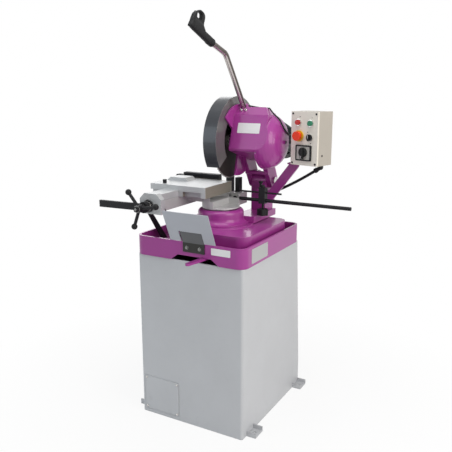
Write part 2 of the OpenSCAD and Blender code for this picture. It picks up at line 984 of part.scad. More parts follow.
// Revolved outline of the ring: flared foot and rounded top
module ring_form() {
    rotate_extrude() polygon(concat([[0, 0], [ring_r + ring_flare, 0]],
        [for (a = [0 : 15 : 90])
            [ring_r + ring_flare * (1 - sin(a)), ring_foot + ring_flare * (1 - cos(a))]],
        [for (a = [0 : 15 : 90])
            [ring_r - ring_round * (1 - cos(a)), ring_h - ring_round * (1 - sin(a))]],
        [[0, ring_h]]));
}

module turntable() {
    z0 = flange_top + gap;
    color("mediumorchid") difference() {
        union() {
            translate([0, 0, z0]) ring_form();
            span([column_x - neck_side, neck_front, z0],
                [column_x - neck_side + neck_w, pivot_y + column_back, z0 + neck_h]);
            x_plate(column_x, column_x1) column_outline();
            translate([column_x + stop_side, pivot_y - column_front, pivot_z - stop_lug_drop])
                span([-stop_lug_w / 2, -stop_lug_out, 0], [stop_lug_w / 2, 0, stop_lug_h]);
        }
        translate([0, 0, z0 - cut]) cylinder(h = ring_h + 2 * cut, r = post_r + run);
        translate([0, pivot_y, pivot_z]) x_round(column_x - cut, column_x1 + cut, pivot_r);
        span([column_x + pocket_wall, pivot_y - pocket_drop / 2 - spring_wire, pivot_z - pocket_drop],
            [column_x1 - pocket_wall, pivot_y + column_d, pivot_z + column_boss_r + cut]);
        translate([column_x + stop_side, pivot_y - column_front - stop_lug_out / 2, pivot_z - stop_lug_drop])
            translate([0, 0, -cut]) cylinder(h = stop_lug_h + 2 * cut, r = stop_bolt_r);
    }
}

module pivot_pin() {
    x0 = column_x - fork_gap - fork_t;
    x1 = column_x1 + fork_gap + fork_t;
    color("silver") translate([0, pivot_y, pivot_z]) {
        x_round(x0, x1 + gap, pivot_r);
        x_round(x1 + gap, x1 + gap + pin_head, pin_head_r);
    }
}

// Torsion spring wound round the pivot pin, between the column's two cheeks
module return_spring() {
    x0 = column_x + pocket_wall + spring_wire / 2 + gap;
    x1 = column_x1 - pocket_wall - spring_wire / 2 - gap;
    steps = spring_turns * spring_rings;
    coil = [for (i = [0 : steps]) [x0 + (x1 - x0) * i / steps,
        spring_r * cos(360 * i / spring_rings), spring_r * sin(360 * i / spring_rings)]];
    lead_in = coil[0] - [0, 0, spring_wire];
    lead_out = coil[steps] + [0, 0, spring_wire];
    color("silver") translate([0, pivot_y, pivot_z])
        swept(concat([lead_in], coil, [lead_out]), spring_wire / 2, spring_sides, [1, 0, 0]);
}

module depth_stop() {
    color([0.25, 0.24, 0.23]) translate([column_x + stop_side, pivot_y - column_front - stop_lug_out / 2,
        pivot_z - stop_lug_drop + stop_lug_h]) {
        translate([0, 0, -stop_lug_h - stop_bolt_l * stop_bolt_low_share])
            cylinder(h = stop_bolt_l, r = stop_bolt_r);
        cylinder(h = stop_hex_h, r = stop_hex_r, $fn = 6);
        translate([0, 0, stop_bolt_l * (1 - stop_bolt_low_share) - stop_lug_h])
            cylinder(h = stop_hex_h, r = stop_hex_r, $fn = 6);
    }
}

// Control box on its arm

module control_arm() {
    run_x = strut_high[0] - strut_low[0];
    run_z = strut_high[1] - strut_low[1];
    long = norm([run_x, run_z]);
    slope = atan2(run_z, run_x);
    color("mediumorchid") {
        translate([strut_low[0], strut_arm_y, strut_low[1]]) rotate([0, -slope, 0]) {
            span([0, 0, -strut_arm_w / 2], [long, strut_arm_t, strut_arm_w / 2]);
            for (x = [0, long]) translate([x, 0, 0]) y_round(0, strut_arm_t, strut_arm_w / 2);
        }
        span([column_x1, strut_arm_y + strut_arm_t - gap, strut_low[1] - strut_arm_w / 2],
            [strut_low[0] + strut_arm_w / 2, strut_arm_y + 2 * strut_arm_t, strut_low[1] + strut_arm_w / 2]);
        span([strut_high[0] - strut_arm_w / 2, strut_arm_y - strut_foot_d / 2, box_z - strut_foot_t],
            [strut_high[0] - strut_arm_w / 2 + strut_foot_w, strut_arm_y + strut_arm_t, box_z]);
    }
}

module control_box() {
    color([0.83, 0.81, 0.76]) on_box() difference() {
        span([0, lid_t, 0], [box_w, box_d, box_h]);
        span([box_wall, lid_t - cut, box_wall], [box_w - box_wall, box_d - box_wall, box_h - box_wall]);
    }
}

module control_lid() {
    color([0.88, 0.87, 0.84]) on_box() difference() {
        span([0, 0, 0], [box_w, lid_t, box_h]);
        span([box_wall, box_wall, box_wall], [box_w - box_wall, lid_t + cut, box_h - box_wall]);
        for (s = button_shares)
            translate([s[0] * box_w, 0, s[1] * box_h]) y_round(-cut, lid_t + cut, stem_r + run);
    }
}

// Places an operating piece on the lid
module on_lid(i) {
    on_box() translate([button_shares[i][0] * box_w, 0, button_shares[i][1] * box_h]) children();
}

module button_bezels() {
    color("silver")
    for (i = [0, 1, 3]) on_lid(i) difference() {
        y_round(-bezel_t, 0, bezel_r);
        y_round(-bezel_t - cut, cut, (i == 3) ? stem_r + run : button_r + gap);
    }
}

module push_button() {
    y_round(-bezel_t - button_out, -gap - button_travel, button_r);
    y_round(-bezel_t - button_out / 2, stem_l, stem_r);
}

module stop_button() {
    color("crimson") on_lid(0) push_button();
}

module start_button() {
    color("seagreen") on_lid(1) push_button();
}

module estop_collar() {
    color("gold") on_lid(2) difference() {
        y_round(-collar_t, 0, collar_r);
        y_round(-collar_t - cut, cut, stem_r + run);
    }
}

module estop_button() {
    color("orangered") on_lid(2) {
        y_round(-collar_t - estop_travel - gap - estop_cap, -collar_t - estop_travel - gap, estop_r);
        y_round(-collar_t - estop_neck, stem_l, stem_r);
    }
}

module selector_knob() {
    color([0.1, 0.1, 0.1]) on_lid(3) {
        y_round(-bezel_t - gap - knob_base_h, -bezel_t - gap, knob_base_r);
        y_round(-bezel_t - knob_base_h, stem_l, stem_r);
        span([-knob_bar / 2, -bezel_t - knob_h, -knob_base_r],
            [knob_bar / 2, -bezel_t - knob_base_h, knob_base_r]);
    }
}

module switch_plate() {
    color([0.45, 0.45, 0.46]) on_lid(4) difference() {
        span([-plate_w / 2, -plate_t, -plate_h / 2], [plate_w / 2, 0, plate_h / 2]);
        y_round(-plate_t - cut, cut, stem_r + run);
    }
}

module main_switch() {
    color([0.1, 0.1, 0.1]) on_lid(4) {
        y_round(-plate_t - gap - switch_h, -plate_t - gap, switch_r);
        y_round(-plate_t - switch_h, stem_l, stem_r);
        span([-switch_bar_w / 2, -plate_t - switch_h - switch_bar_h, -switch_bar_l],
            [switch_bar_w / 2, -plate_t - switch_h, switch_r]);
    }
}

module box_gland() {
    color([0.1, 0.1, 0.1]) {
        translate(gland_elbow) cylinder(h = gland_l, r = gland_r);
        translate(gland_elbow) sphere(gland_r);
        translate(gland_elbow) rotate([0, 90 + lead_fall, lead_heading])
            cylinder(h = nozzle_l, r = nozzle_r);
    }
}

// Lead from the gland's nozzle to the column, sagging a little on its way
lead_end = [column_x1, pivot_y - lead_side, table_z - lead_drop];
lead_turn = lead_end + [40, -5, 8];
gland_elbow = [box_x + gland_x_share * box_w * cos(box_yaw) + gland_y_share * box_d * sin(box_yaw),
    box_y - gland_x_share * box_w * sin(box_yaw) + gland_y_share * box_d * cos(box_yaw), box_z - gland_l];
lead_way = lead_turn - gland_elbow;
lead_heading = atan2(lead_way[1], lead_way[0]);
lead_across = norm([lead_way[0], lead_way[1]]);
lead_bend = (tan(lead_fall) * lead_across + lead_way[2]) / pow(lead_across - nozzle_l, 2);
lead_route = concat([lead_at((nozzle_l + gap) * cos(lead_fall))],
    [for (i = [1 : lead_steps]) lead_at(nozzle_l + (lead_across - nozzle_l) * i / lead_steps)],
    [lead_end + [25, -1.5, 2.5], lead_end + [12, 0, 0], lead_end]);

// Place on the lead, by how far across it has come from the elbow
function lead_at(across) = gland_elbow + [across * cos(lead_heading), across * sin(lead_heading),
    lead_bend * pow(max(0, across - nozzle_l), 2) - across * tan(lead_fall)];

module box_lead() {
    color([0.08, 0.08, 0.08]) swept(lead_route, lead_r, lead_sides, [0, 1, 0.2]);
}

// Saw head

// Outline of the square front of the gear housing, drawn in by the wall thickness
module front_outline(inset) {
    v0 = house_v0 + inset;
    back = -spindle_back + house_back - inset;
    polygon([[v0, spindle_up - house_low + inset], [v0, spindle_up + house_high - inset],
        [v0 + house_top_in, spindle_up + house_top - inset], [back, spindle_up + house_top - inset],
        [back, spindle_up - house_bottom + inset], [v0 + house_top_in, spindle_up - house_bottom + inset]]);
}

// Outline of the round gear chamber, cut flat at the front and underneath
module chamber_outline(inset) {
    intersection() {
        translate(gear_axis) circle(gear_r - inset);
        translate([house_v0 + inset, spindle_up - house_bottom + inset]) square(4 * gear_r);
    }
}

// Outline of one fork arm, from the housing down to the pivot
module fork_outline() {
    circle(fork_r);
    polygon(concat([for (s = fork_shares) [-s[0] * spindle_back, s[1] * spindle_up]],
        [for (a = fork_tangents) fork_r * [cos(a), sin(a)]]));
}

module gearbox() {
    arm_left = column_x - fork_gap - fork_t;
    arm_right = column_x1 + fork_gap;
    color("mediumorchid") on_head() difference() {
        union() {
            x_plate(gear_x0, dome_x) chamber_outline(0);
            intersection() {
                translate([0, gear_axis[0], gear_axis[1]])
                    x_round(dome_x - rear_flange_t, dome_x, gear_r + rim_out);
                behind_face(dome_x - 2 * rear_flange_t, dome_x + cut, gear_wall);
            }
            front_block();
            motor_seat(0);
            for (x = [arm_left, arm_right]) x_plate(x, x + fork_t) fork_outline();
            translate([0, -stop_web_back, stop_web_up]) x_round(arm_left, arm_right + fork_t, stop_web_r);
            translate([0, -spindle_back, spindle_up]) {
                shield();
                x_round(inner_flange_t + blade_t, gear_x0 + shield_seat, nose_r);
            }
            lever_axis() cylinder(h = lever_boss_l, r = lever_boss_r);
        }
        intersection() {
            union() {
                x_plate(gear_x0 + gear_wall, dome_x + cut) chamber_outline(gear_wall);
                x_plate(gear_x0 + gear_wall, dome_x) front_outline(gear_wall);
            }
            x_plate(gear_x0, dome_x + 2 * cut) translate([house_v0, 0])
                square([-motor_front - gear_wall - house_v0, 4 * gear_r]);
        }
        motor_space();
        x_round(arm_left - cut, arm_right + fork_t + cut, pivot_r + run);
        translate([0, -spindle_back, spindle_up]) x_round(0, dome_x + spindle_r + gap, spindle_r + run);
        translate([wheel_x, 0, spindle_up + worm_up])
            y_round(-spindle_back, -motor_front + cut, worm_shaft_r + run);
        lever_axis() translate([0, 0, tube_r]) cylinder(h = lever_boss_l, r = tube_r);
    }
}

// Half space behind the housing's front face, between two planes across the saw
module behind_face(x0, x1, inset) {
    x_plate(x0, x1) translate([house_v0 + inset, gear_axis[1] - 2 * gear_r]) square(4 * gear_r);
}

// Backing disc beside the blade, open towards the operator
module shield() {
    translate([gear_x0 - shield_t, 0, 0]) rotate([90, 0, 90]) rotate([0, 0, shield_close])
        rotate_extrude(angle = 360 - shield_close + shield_open) square([shield_r, shield_t + shield_seat]);
}

// Room for the motor behind its seat
module motor_space() {
    translate([wheel_x, 0, spindle_up + worm_up]) y_round(-motor_front, motor_l, motor_flange_r + gap);
}

// Square front of the housing, its upper right edge sloped down to the front face
module front_block() {
    top = spindle_up + house_top;
    difference() {
        x_plate(gear_x0, gear_x1) front_outline(0);
        y_plate(house_v0 - cut, -spindle_back + house_back + cut)
            polygon([[dome_x, top], [dome_x, top + cut], [gear_x1 + cut, top + cut],
                [gear_x1 + cut, spindle_up + house_high], [gear_x1, spindle_up + house_high]]);
    }
}

// Round seat that carries the motor on the back of the housing
module motor_seat(grow) {
    translate([wheel_x, 0, spindle_up + worm_up])
        y_round(-motor_front - motor_seat_l - grow, -motor_front + grow, motor_seat_r + grow);
}

// The lever's axis, from the foot of its boss
module lever_axis() {
    translate([lever_x, lever_base[0], lever_base[1]]) rotate([90 - lever_slope, 0, 0])
        translate([0, 0, -lever_boss_l]) children();
}

// Rounded cover that closes the housing's right side, with its oil plug
module gear_cover() {
    color("mediumorchid") on_head() difference() {
        union() {
            cover_shell(gear_r, cover_out, 0, 0);
            translate([0, gear_axis[0], gear_axis[1]]) rotate([0, 90, 0])
                translate([0, 0, dome_x + cover_out - plug_seat])
                    cylinder(h = plug_seat + plug_h, r = plug_r, $fn = 6);
        }
        cover_shell(gear_r - cover_wall, cover_out - cover_wall, cut, cover_wall);
        front_block();
        motor_seat(0);
        motor_space();
    }
}

// The cover's dome, cut flat behind the housing's front face
module cover_shell(r, out, over, inset) {
    intersection() {
        translate([dome_x, gear_axis[0], gear_axis[1]]) rotate([0, 90, 0]) cover_dome(r, out, over);
        behind_face(dome_x - 2 * cut, dome_x + cover_out + cut, inset);
    }
}

// Revolved outline of the cover, out to a radius and a bulge, started early by an overrun
module cover_dome(r, out, over) {
    flat = r * cover_flat_share;
    rotate_extrude() polygon(concat([[0, -over], [r, -over]],
        [for (a = [0 : 10 : 90]) [flat + (r - flat) * cos(a), out * sin(a)]], [[0, out]]));
}

module motor() {
    color([0.16, 0.2, 0.19]) on_head() translate([wheel_x, 0, spindle_up + worm_up]) difference() {
        union() {
            y_round(-motor_front, -motor_front + motor_flange_t, motor_flange_r);
            rotate([90, 0, 0]) translate([0, 0, motor_front - motor_l]) linear_extrude(motor_l) {
                circle(motor_r - fin_h);
                for (i = [0 : fin_count - 1])
                    rotate(i * 360 / fin_count) translate([0, -fin_t / 2]) square([motor_r, fin_t]);
            }
            span([motor_r / 2, -motor_front + motor_l * term_back_share, -term_h / 2],
                [motor_r + term_w, -motor_front + motor_l * term_back_share + term_l, term_h / 2]);
        }
        y_round(-motor_front - cut, -motor_front + motor_l + cut, worm_shaft_r + run);
    }
}

module fan_cover() {
    back = -motor_front + motor_l;
    color([0.13, 0.16, 0.15]) on_head() translate([wheel_x, 0, spindle_up + worm_up]) difference() {
        y_round(back, back + fan_l, motor_r);
        y_round(back - cut, back + fan_l - fan_wall, motor_r - fan_wall);
        for (i = [0 : vent_count - 1])
            rotate([0, i * 360 / vent_count, 0]) translate([motor_r * vent_ring_share, 0, 0])
                y_round(back + fan_l - 2 * fan_wall, back + fan_l + cut, vent_r);
    }
}

// Lever: straight tube, bend and straight tube into the grip
lever_slope = atan2(lever_bend[1] - lever_base[1], lever_base[0] - lever_bend[0]);
bend_turn = lever_slope;
bend_cut = bend_r * tan(bend_turn / 2);
lever_run = norm(lever_bend - lever_base);

module lever_tube() {
    color([0.55, 0.5, 0.46]) on_head() translate([lever_x, 0, 0]) {
        translate([-lever_x, 0, 0]) lever_axis() translate([0, 0, tube_r])
            cylinder(h = lever_run - bend_cut + lever_boss_l - tube_r + cut, r = tube_r);
        translate([0, lever_bend[0] - bend_cut, lever_bend[1] - bend_r]) rotate([90, 0, 90])
            rotate([0, 0, 90 - bend_turn]) rotate_extrude(angle = bend_turn)
                translate([bend_r, 0]) circle(tube_r + bend_swell);
        translate([0, 0, lever_bend[1]]) y_round(lever_end, lever_bend[0] - bend_cut + cut, tube_r);
    }
}

// Route of the trigger's cable in the head's own frame: lever boss, housing top, cover, motor
cable_r = 3;
cable_sides = 8;
cable_route = [[84.2, -231, 289], [92, -231, 289], [106, -224, 288.2], [135, -210, 287.6],
    [165, -203, 288], [173.5, -203.5, 287.6], [181, -205, 281], [191, -208, 271.5], [201, -211, 262],
    [212.6, -213, 253.2], [223.4, -211, 246], [236, -208, 233.4], [248, -204, 214], [255.6, -185.5, 196.8],
    [256.6, -155.8, 191], [251.6, -121.5, 192], [243, -94, 199.5], [237, -70, 206], [232, -44, 212],
    [232, -23.9, 212]];

module trigger_cable() {
    color([0.08, 0.08, 0.08]) on_head() swept(cable_route, cable_r, cable_sides, [-1, 1, 1]);
}

// Outline of the grip from the side, with the loop round the trigger; shares of its length and height
grip_l = 166;
grip_h = 102;
grip_shares = [[0, -0.15], [0.25, -0.18], [1.04, 0], [0.96, 0.59], [0.8, 0.8], [0.62, 0.82], [0.55, 0.74],
    [0.49, 0.42], [0.36, 0.28], [0.13, 0.18], [0, 0.16]];
palm_shares = [[0, -0.15], [0.25, -0.18], [1.04, 0], [1, 0.3], [0.75, 0.36], [0.49, 0.42], [0.36, 0.28],
    [0.13, 0.18], [0, 0.16]];
grip_hole_share = [0.755, 0.58];
grip_start = -575;

module grip() {
    color([0.1, 0.1, 0.1]) on_head() translate([lever_x, grip_start, lever_bend[1]]) difference() {
        union() {
            x_plate(-grip_t / 2, grip_t / 2)
                polygon([for (s = palm_shares) [-s[0] * grip_l, s[1] * grip_h]]);
            x_plate(-loop_t / 2, loop_t / 2)
                polygon([for (s = grip_shares) [-s[0] * grip_l, s[1] * grip_h]]);
            y_round(-grip_collar_l, 0, grip_collar_r);
        }
        y_round(lever_end - grip_start, cut, tube_r);
        translate([0, -grip_hole_share[0] * grip_l, grip_hole_share[1] * grip_h])
            x_plate(-grip_t, grip_t) round_rect(grip_hole_w, grip_hole_h, grip_edge_r);
        translate([-trigger_w / 2 - gap, -grip_hole_share[0] * grip_l - trigger_l / 2 - gap,
            grip_hole_share[1] * grip_h - grip_hole_h / 2 - trigger_h])
            cube([trigger_w + 2 * gap, trigger_l + 2 * gap, trigger_h + cut]);
    }
}

module trigger() {
    base = grip_hole_share[1] * grip_h - grip_hole_h / 2;
    color([0.7, 0.12, 0.1]) on_head()
        translate([lever_x, grip_start - grip_hole_share[0] * grip_l, lever_bend[1]])
        span([-trigger_w / 2, -trigger_l / 2, base - trigger_h + trigger_travel + gap],
            [trigger_w / 2, trigger_l / 2, base + trigger_travel]);
}

// Spindle, worm drive and blade

module spindle() {
    color("silver") on_spindle() {
        x_round(-blade_t / 2 - outer_flange_t, blade_t / 2, nose_shaft_r);
        x_round(blade_t / 2, blade_t / 2 + inner_flange_t, inner_flange_r);
        x_round(blade_t / 2, dome_x + spindle_r, spindle_r);
        x_round(-blade_t / 2 - outer_flange_t, -blade_t / 2, outer_flange_r);
        rotate([0, -90, 0]) translate([0, 0, blade_t / 2 + outer_flange_t])
            cylinder(h = arbor_head_h, r = arbor_head_r, $fn = 6);
    }
}

module worm_wheel() {
    color("goldenrod") on_spindle() difference() {
        x_round(wheel_x - wheel_t / 2, wheel_x + wheel_t / 2, wheel_r);
        x_round(wheel_x - wheel_t, wheel_x + wheel_t, spindle_r);
    }
}

module blade() {
    step = 360 / teeth;
    color([0.3, 0.29, 0.28]) on_spindle() difference() {
        x_plate(-blade_t / 2, blade_t / 2) polygon([for (i = [0 : teeth - 1], s = [0, 1])
            let (a = step * (i + s * tooth_lead_share), r = blade_r - s * tooth_h)
                [r * cos(a), r * sin(a)]]);
        x_round(-blade_t, blade_t, nose_shaft_r);
    }
}

module worm_shaft() {
    color("silver") on_head() translate([wheel_x, -spindle_back, spindle_up + worm_up]) {
        y_round(-worm_l / 2, worm_l / 2, worm_r);
        y_round(-worm_l / 2, spindle_back - motor_front + motor_l, worm_shaft_r);
    }
}

// Blade guard: rim and two flanks over the upper part of the blade

// A sector of the guard, as wide in angle as the guard, out to a radius
module guard_sector(x0, x1, r) {
    translate([x0, 0, 0]) rotate([90, 0, 90]) rotate([0, 0, guard_high])
        rotate_extrude(angle = guard_low - guard_high) square([r, x1 - x0]);
}

module blade_guard() {
    half = guard_w / 2;
    color([0.62, 0.65, 0.68]) on_spindle() difference() {
        union() {
            difference() {
                guard_sector(-half, half, guard_r);
                x_round(-half + guard_wall, half - guard_wall, guard_r - guard_wall);
                x_round(half - 2 * guard_wall, half + cut, guard_r - guard_ring);
            }
            x_round(half - guard_wall, half, guard_hub_r);
            rotate([(guard_low + guard_high) / 2, 0, 0])
                span([half - guard_wall, guard_hub_r / 2, -guard_arm_w / 2],
                    [half, guard_r - guard_ring + guard_wall, guard_arm_w / 2]);
        }
        x_round(half - 2 * guard_wall, half + cut, nose_r + run);
    }
}

stand();
access_panel();
panel_screws();
feet();
coolant_tank();
coolant_pump();
tray();
pedestal();
swivel_post();
vise_bed();
vise_nut();
fixed_jaw_left();
fixed_jaw_right();
vise_struts();
plate_bracket();
splash_plate();
plate_clips();
stop_rod();
lock_lever();
moving_jaw();
jaw_plate();
jaw_lock_bolt();
vise_screw();
handwheel();
handwheel_balls();
clamp_lever();
stop_block();
stop_knob();
stop_pin();
pin_knob();
turntable();
pivot_pin();
return_spring();
depth_stop();
control_arm();
control_box();
control_lid();
trigger_cable();
button_bezels();
estop_collar();
switch_plate();
box_gland();
box_lead();
start_button();
stop_button();
estop_button();
selector_knob();
main_switch();
gearbox();
gear_cover();
motor();
fan_cover();
lever_tube();
grip();
trigger();
spindle();
worm_wheel();
blade();
worm_shaft();
blade_guard();
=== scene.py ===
"""Dressing of a pedestal cold saw: finishes, small hardware, cables, studio light and camera."""

from __future__ import annotations

import json
import logging
import math
from abc import ABC, abstractmethod
from dataclasses import dataclass, field
from enum import Enum
from typing import Any, Sequence, Union

import bmesh
import bpy
from mathutils import Matrix, Vector

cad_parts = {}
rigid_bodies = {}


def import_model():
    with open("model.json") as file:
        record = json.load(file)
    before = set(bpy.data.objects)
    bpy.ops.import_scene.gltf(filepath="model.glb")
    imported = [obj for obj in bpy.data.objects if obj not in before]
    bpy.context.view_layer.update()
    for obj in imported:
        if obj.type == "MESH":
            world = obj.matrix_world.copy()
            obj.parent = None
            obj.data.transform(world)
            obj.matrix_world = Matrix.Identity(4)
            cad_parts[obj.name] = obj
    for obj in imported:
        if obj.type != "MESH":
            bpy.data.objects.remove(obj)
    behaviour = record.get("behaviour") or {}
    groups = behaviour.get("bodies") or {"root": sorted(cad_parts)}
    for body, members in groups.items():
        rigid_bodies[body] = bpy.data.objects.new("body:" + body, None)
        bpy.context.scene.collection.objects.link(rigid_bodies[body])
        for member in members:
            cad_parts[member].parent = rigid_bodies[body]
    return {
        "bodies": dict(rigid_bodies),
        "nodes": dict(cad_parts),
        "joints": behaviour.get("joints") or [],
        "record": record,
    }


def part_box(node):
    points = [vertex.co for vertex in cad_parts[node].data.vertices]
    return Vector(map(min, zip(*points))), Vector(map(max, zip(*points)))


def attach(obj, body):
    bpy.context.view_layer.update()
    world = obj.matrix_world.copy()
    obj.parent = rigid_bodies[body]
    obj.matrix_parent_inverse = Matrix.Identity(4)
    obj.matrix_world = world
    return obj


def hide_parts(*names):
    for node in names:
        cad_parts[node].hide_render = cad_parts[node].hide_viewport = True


LOG = logging.getLogger("cold_saw")

Colour = tuple[float, float, float]
Point = tuple[float, float, float]
Pair = tuple[float, float]

MM = 0.001
TINY = 1e-9
NOISE_ROUGHNESS = 0.55
BEVEL_SAMPLES = 6
COAT_ROUGHNESS = 0.07
UPWARDS = Vector((0, 0, 1))
TO_FRONT = Vector((0, -1, 0))
TO_RIGHT = Vector((1, 0, 0))


class Axis(Enum):
    """Direction in which a metal surface was worked."""

    X = (1.0, 0.0, 0.0)
    Y = (0.0, 1.0, 0.0)
    Z = (0.0, 0.0, 1.0)


class ScrewHead(Enum):
    """Drive form of a screw head."""

    HEX = "hex"
    SOCKET = "socket"


class Bend(Enum):
    """How easily a cable bends."""

    STIFF = "stiff"
    LIMP = "limp"


class Sock:
    """A shader socket that takes part in Python expressions."""

    def __init__(self, graph: Graph, socket: bpy.types.NodeSocket) -> None:
        """Wraps one output socket of a graph."""
        self.graph = graph
        self.socket = socket

    def maths(self, operation: str, first: Value, second: Value = 0.0) -> Sock:
        """Adds one Math node.

        Args:
            operation: the Math node's operation.
            first: the first operand.
            second: the second operand.

        Returns:
            The node's value.
        """
        return self.graph.node("ShaderNodeMath", {"operation": operation}, {0: first, 1: second})

    def __add__(self, other: Value) -> Sock:
        """Sum of the socket and a value."""
        return self.maths("ADD", self, other)

    __radd__ = __add__

    def __sub__(self, other: Value) -> Sock:
        """Difference of the socket and a value."""
        return self.maths("SUBTRACT", self, other)

    def __rsub__(self, other: Value) -> Sock:
        """Difference of a value and the socket."""
        return self.maths("SUBTRACT", other, self)

    def __mul__(self, other: Value) -> Sock:
        """Product of the socket and a value."""
        return self.maths("MULTIPLY", self, other)

    __rmul__ = __mul__

    def __pow__(self, other: Value) -> Sock:
        """Power of the socket."""
        return self.maths("POWER", self, other)

    def __abs__(self) -> Sock:
        """Size of the socket without its sign."""
        return self.maths("ABSOLUTE", self)

    def above(self, low: float, high: float) -> Sock:
        """Rises from 0 to 1 between two values.

        Args:
            low: value that gives 0.
            high: value that gives 1.

        Returns:
            The clamped ramp.
        """
        limits = {"Value": self, "From Min": low, "From Max": high}
        return self.graph.node("ShaderNodeMapRange", {"clamp": True}, limits)

    def swing(self, width: float) -> Sock:
        """Turns a value from 0 to 1 into one that swings about 0 over a width."""
        return (self - 0.5) * width

    def wave(self) -> Sock:
        """Sine of the socket."""
        return self.maths("SINE", self)


Value = Union[Sock, float, int, Sequence[float]]


class Graph:
    """Node tree of a material or a world, with a single method that adds nodes."""

    def __init__(
        self, owner: bpy.types.Material | bpy.types.World, output: str = "ShaderNodeOutputMaterial"
    ) -> None:
        """Empties the owner's tree and adds its output.

        Args:
            owner: the material or world.
            output: type of the output node.
        """
        owner.use_nodes = True
        self.tree = owner.node_tree
        self.tree.nodes.clear()
        self.output = self.tree.nodes.new(output)

    def put(self, socket: bpy.types.NodeSocket, value: Value) -> None:
        """Links or sets one input socket.

        Args:
            socket: the input.
            value: a wrapped socket, a number or a vector.
        """
        if isinstance(value, Sock):
            self.tree.links.new(value.socket, socket)
        elif isinstance(value, (int, float)):
            socket.default_value = value
        elif socket.type == "RGBA" and len(value) == 3:
            socket.default_value = (*value, 1.0)
        else:
            socket.default_value = tuple(value)

    def node(
        self,
        kind: str,
        settings: dict[str, Any] | None = None,
        sockets: dict[str | int, Value] | None = None,
        output: str | int = 0,
    ) -> Sock:
        """Adds one node.

        Args:
            kind: the node's type.
            settings: properties, set first.
            sockets: values or links of its inputs.
            output: the output that is returned.

        Returns:
            The wrapped output socket.
        """
        made = self.tree.nodes.new(kind)
        for key, value in (settings or {}).items():
            setattr(made, key, value)
        for key, value in (sockets or {}).items():
            self.put(made.inputs[key], value)
        return Sock(self, made.outputs[output])

    def show(self, shader: Sock) -> None:
        """Links a shader to the output."""
        self.put(self.output.inputs[0], shader)

    def place(self, stretch: Point = (1.0, 1.0, 1.0)) -> Sock:
        """Object coordinates, stretched along the axes.

        Args:
            stretch: scale on each axis.

        Returns:
            The coordinate vector.
        """
        where = self.node("ShaderNodeTexCoord", output="Object")
        return self.node("ShaderNodeVectorMath", {"operation": "MULTIPLY"}, {0: where, 1: stretch})

    def noise(self, scale: float, detail: float, stretch: Point = (1.0, 1.0, 1.0)) -> Sock:
        """Noise from 0 to 1.

        Args:
            scale: features per metre.
            detail: octaves.
            stretch: scale on each axis.

        Returns:
            The noise value.
        """
        where = self.place(stretch)
        grain = {"Vector": where, "Scale": scale, "Detail": detail, "Roughness": NOISE_ROUGHNESS}
        return self.node("ShaderNodeTexNoise", sockets=grain)

    def part(self, axis: str) -> Sock:
        """One coordinate of the object, in metres."""
        return self.node("ShaderNodeSeparateXYZ", sockets={0: self.place()}, output=axis)

    def facing(self, axis: str) -> Sock:
        """One part of the surface's normal, in the object's own frame."""
        normal = self.node("ShaderNodeTexCoord", output="Normal")
        return self.node("ShaderNodeSeparateXYZ", sockets={0: normal}, output=axis)

    def mix(self, first: Value, second: Value, share: Value) -> Sock:
        """Blends two colours.

        Args:
            first: colour at share 0.
            second: colour at share 1.
            share: the blend.

        Returns:
            The blended colour.
        """
        return self.node("ShaderNodeMix", {"data_type": "RGBA"}, {0: share, 6: first, 7: second}, 2)

    def soft_normal(self, radius: float) -> Sock:
        """Normal rounded over edges of the given radius."""
        return self.node("ShaderNodeBevel", {"samples": BEVEL_SAMPLES}, {"Radius": radius})

    def edges(self, radius: float) -> Sock:
        """Mask that is 1 along edges.

        Args:
            radius: width of the edge band.

        Returns:
            The mask.
        """
        flat = self.node("ShaderNodeNewGeometry", output="Normal")
        both = {0: self.soft_normal(radius), 1: flat}
        likeness = self.node("ShaderNodeVectorMath", {"operation": "DOT_PRODUCT"}, both, "Value")
        return (1.0 - likeness).above(low=0.02, high=0.2)

    def looked_at(self) -> Sock:
        """Mask of the rays that show a backdrop, also in gloss and glass, but don't light the saw.

        Returns:
            The mask, from 0 to 1.
        """
        kinds = ("Is Camera Ray", "Is Glossy Ray", "Is Transmission Ray")
        seen, shiny, through = (self.node("ShaderNodeLightPath", output=kind) for kind in kinds)
        return (seen + shiny + through).above(low=0.0, high=1.0)


@dataclass
class Skin:
    """What a finish gives its shader; the height's depth is in metres."""

    colour: Value
    rough: Value
    height: Sock
    depth: float


def shaded(colour: Colour, factor: float) -> Colour:
    """A colour made lighter or darker."""
    return tuple(min(1.0, channel * factor) for channel in colour)


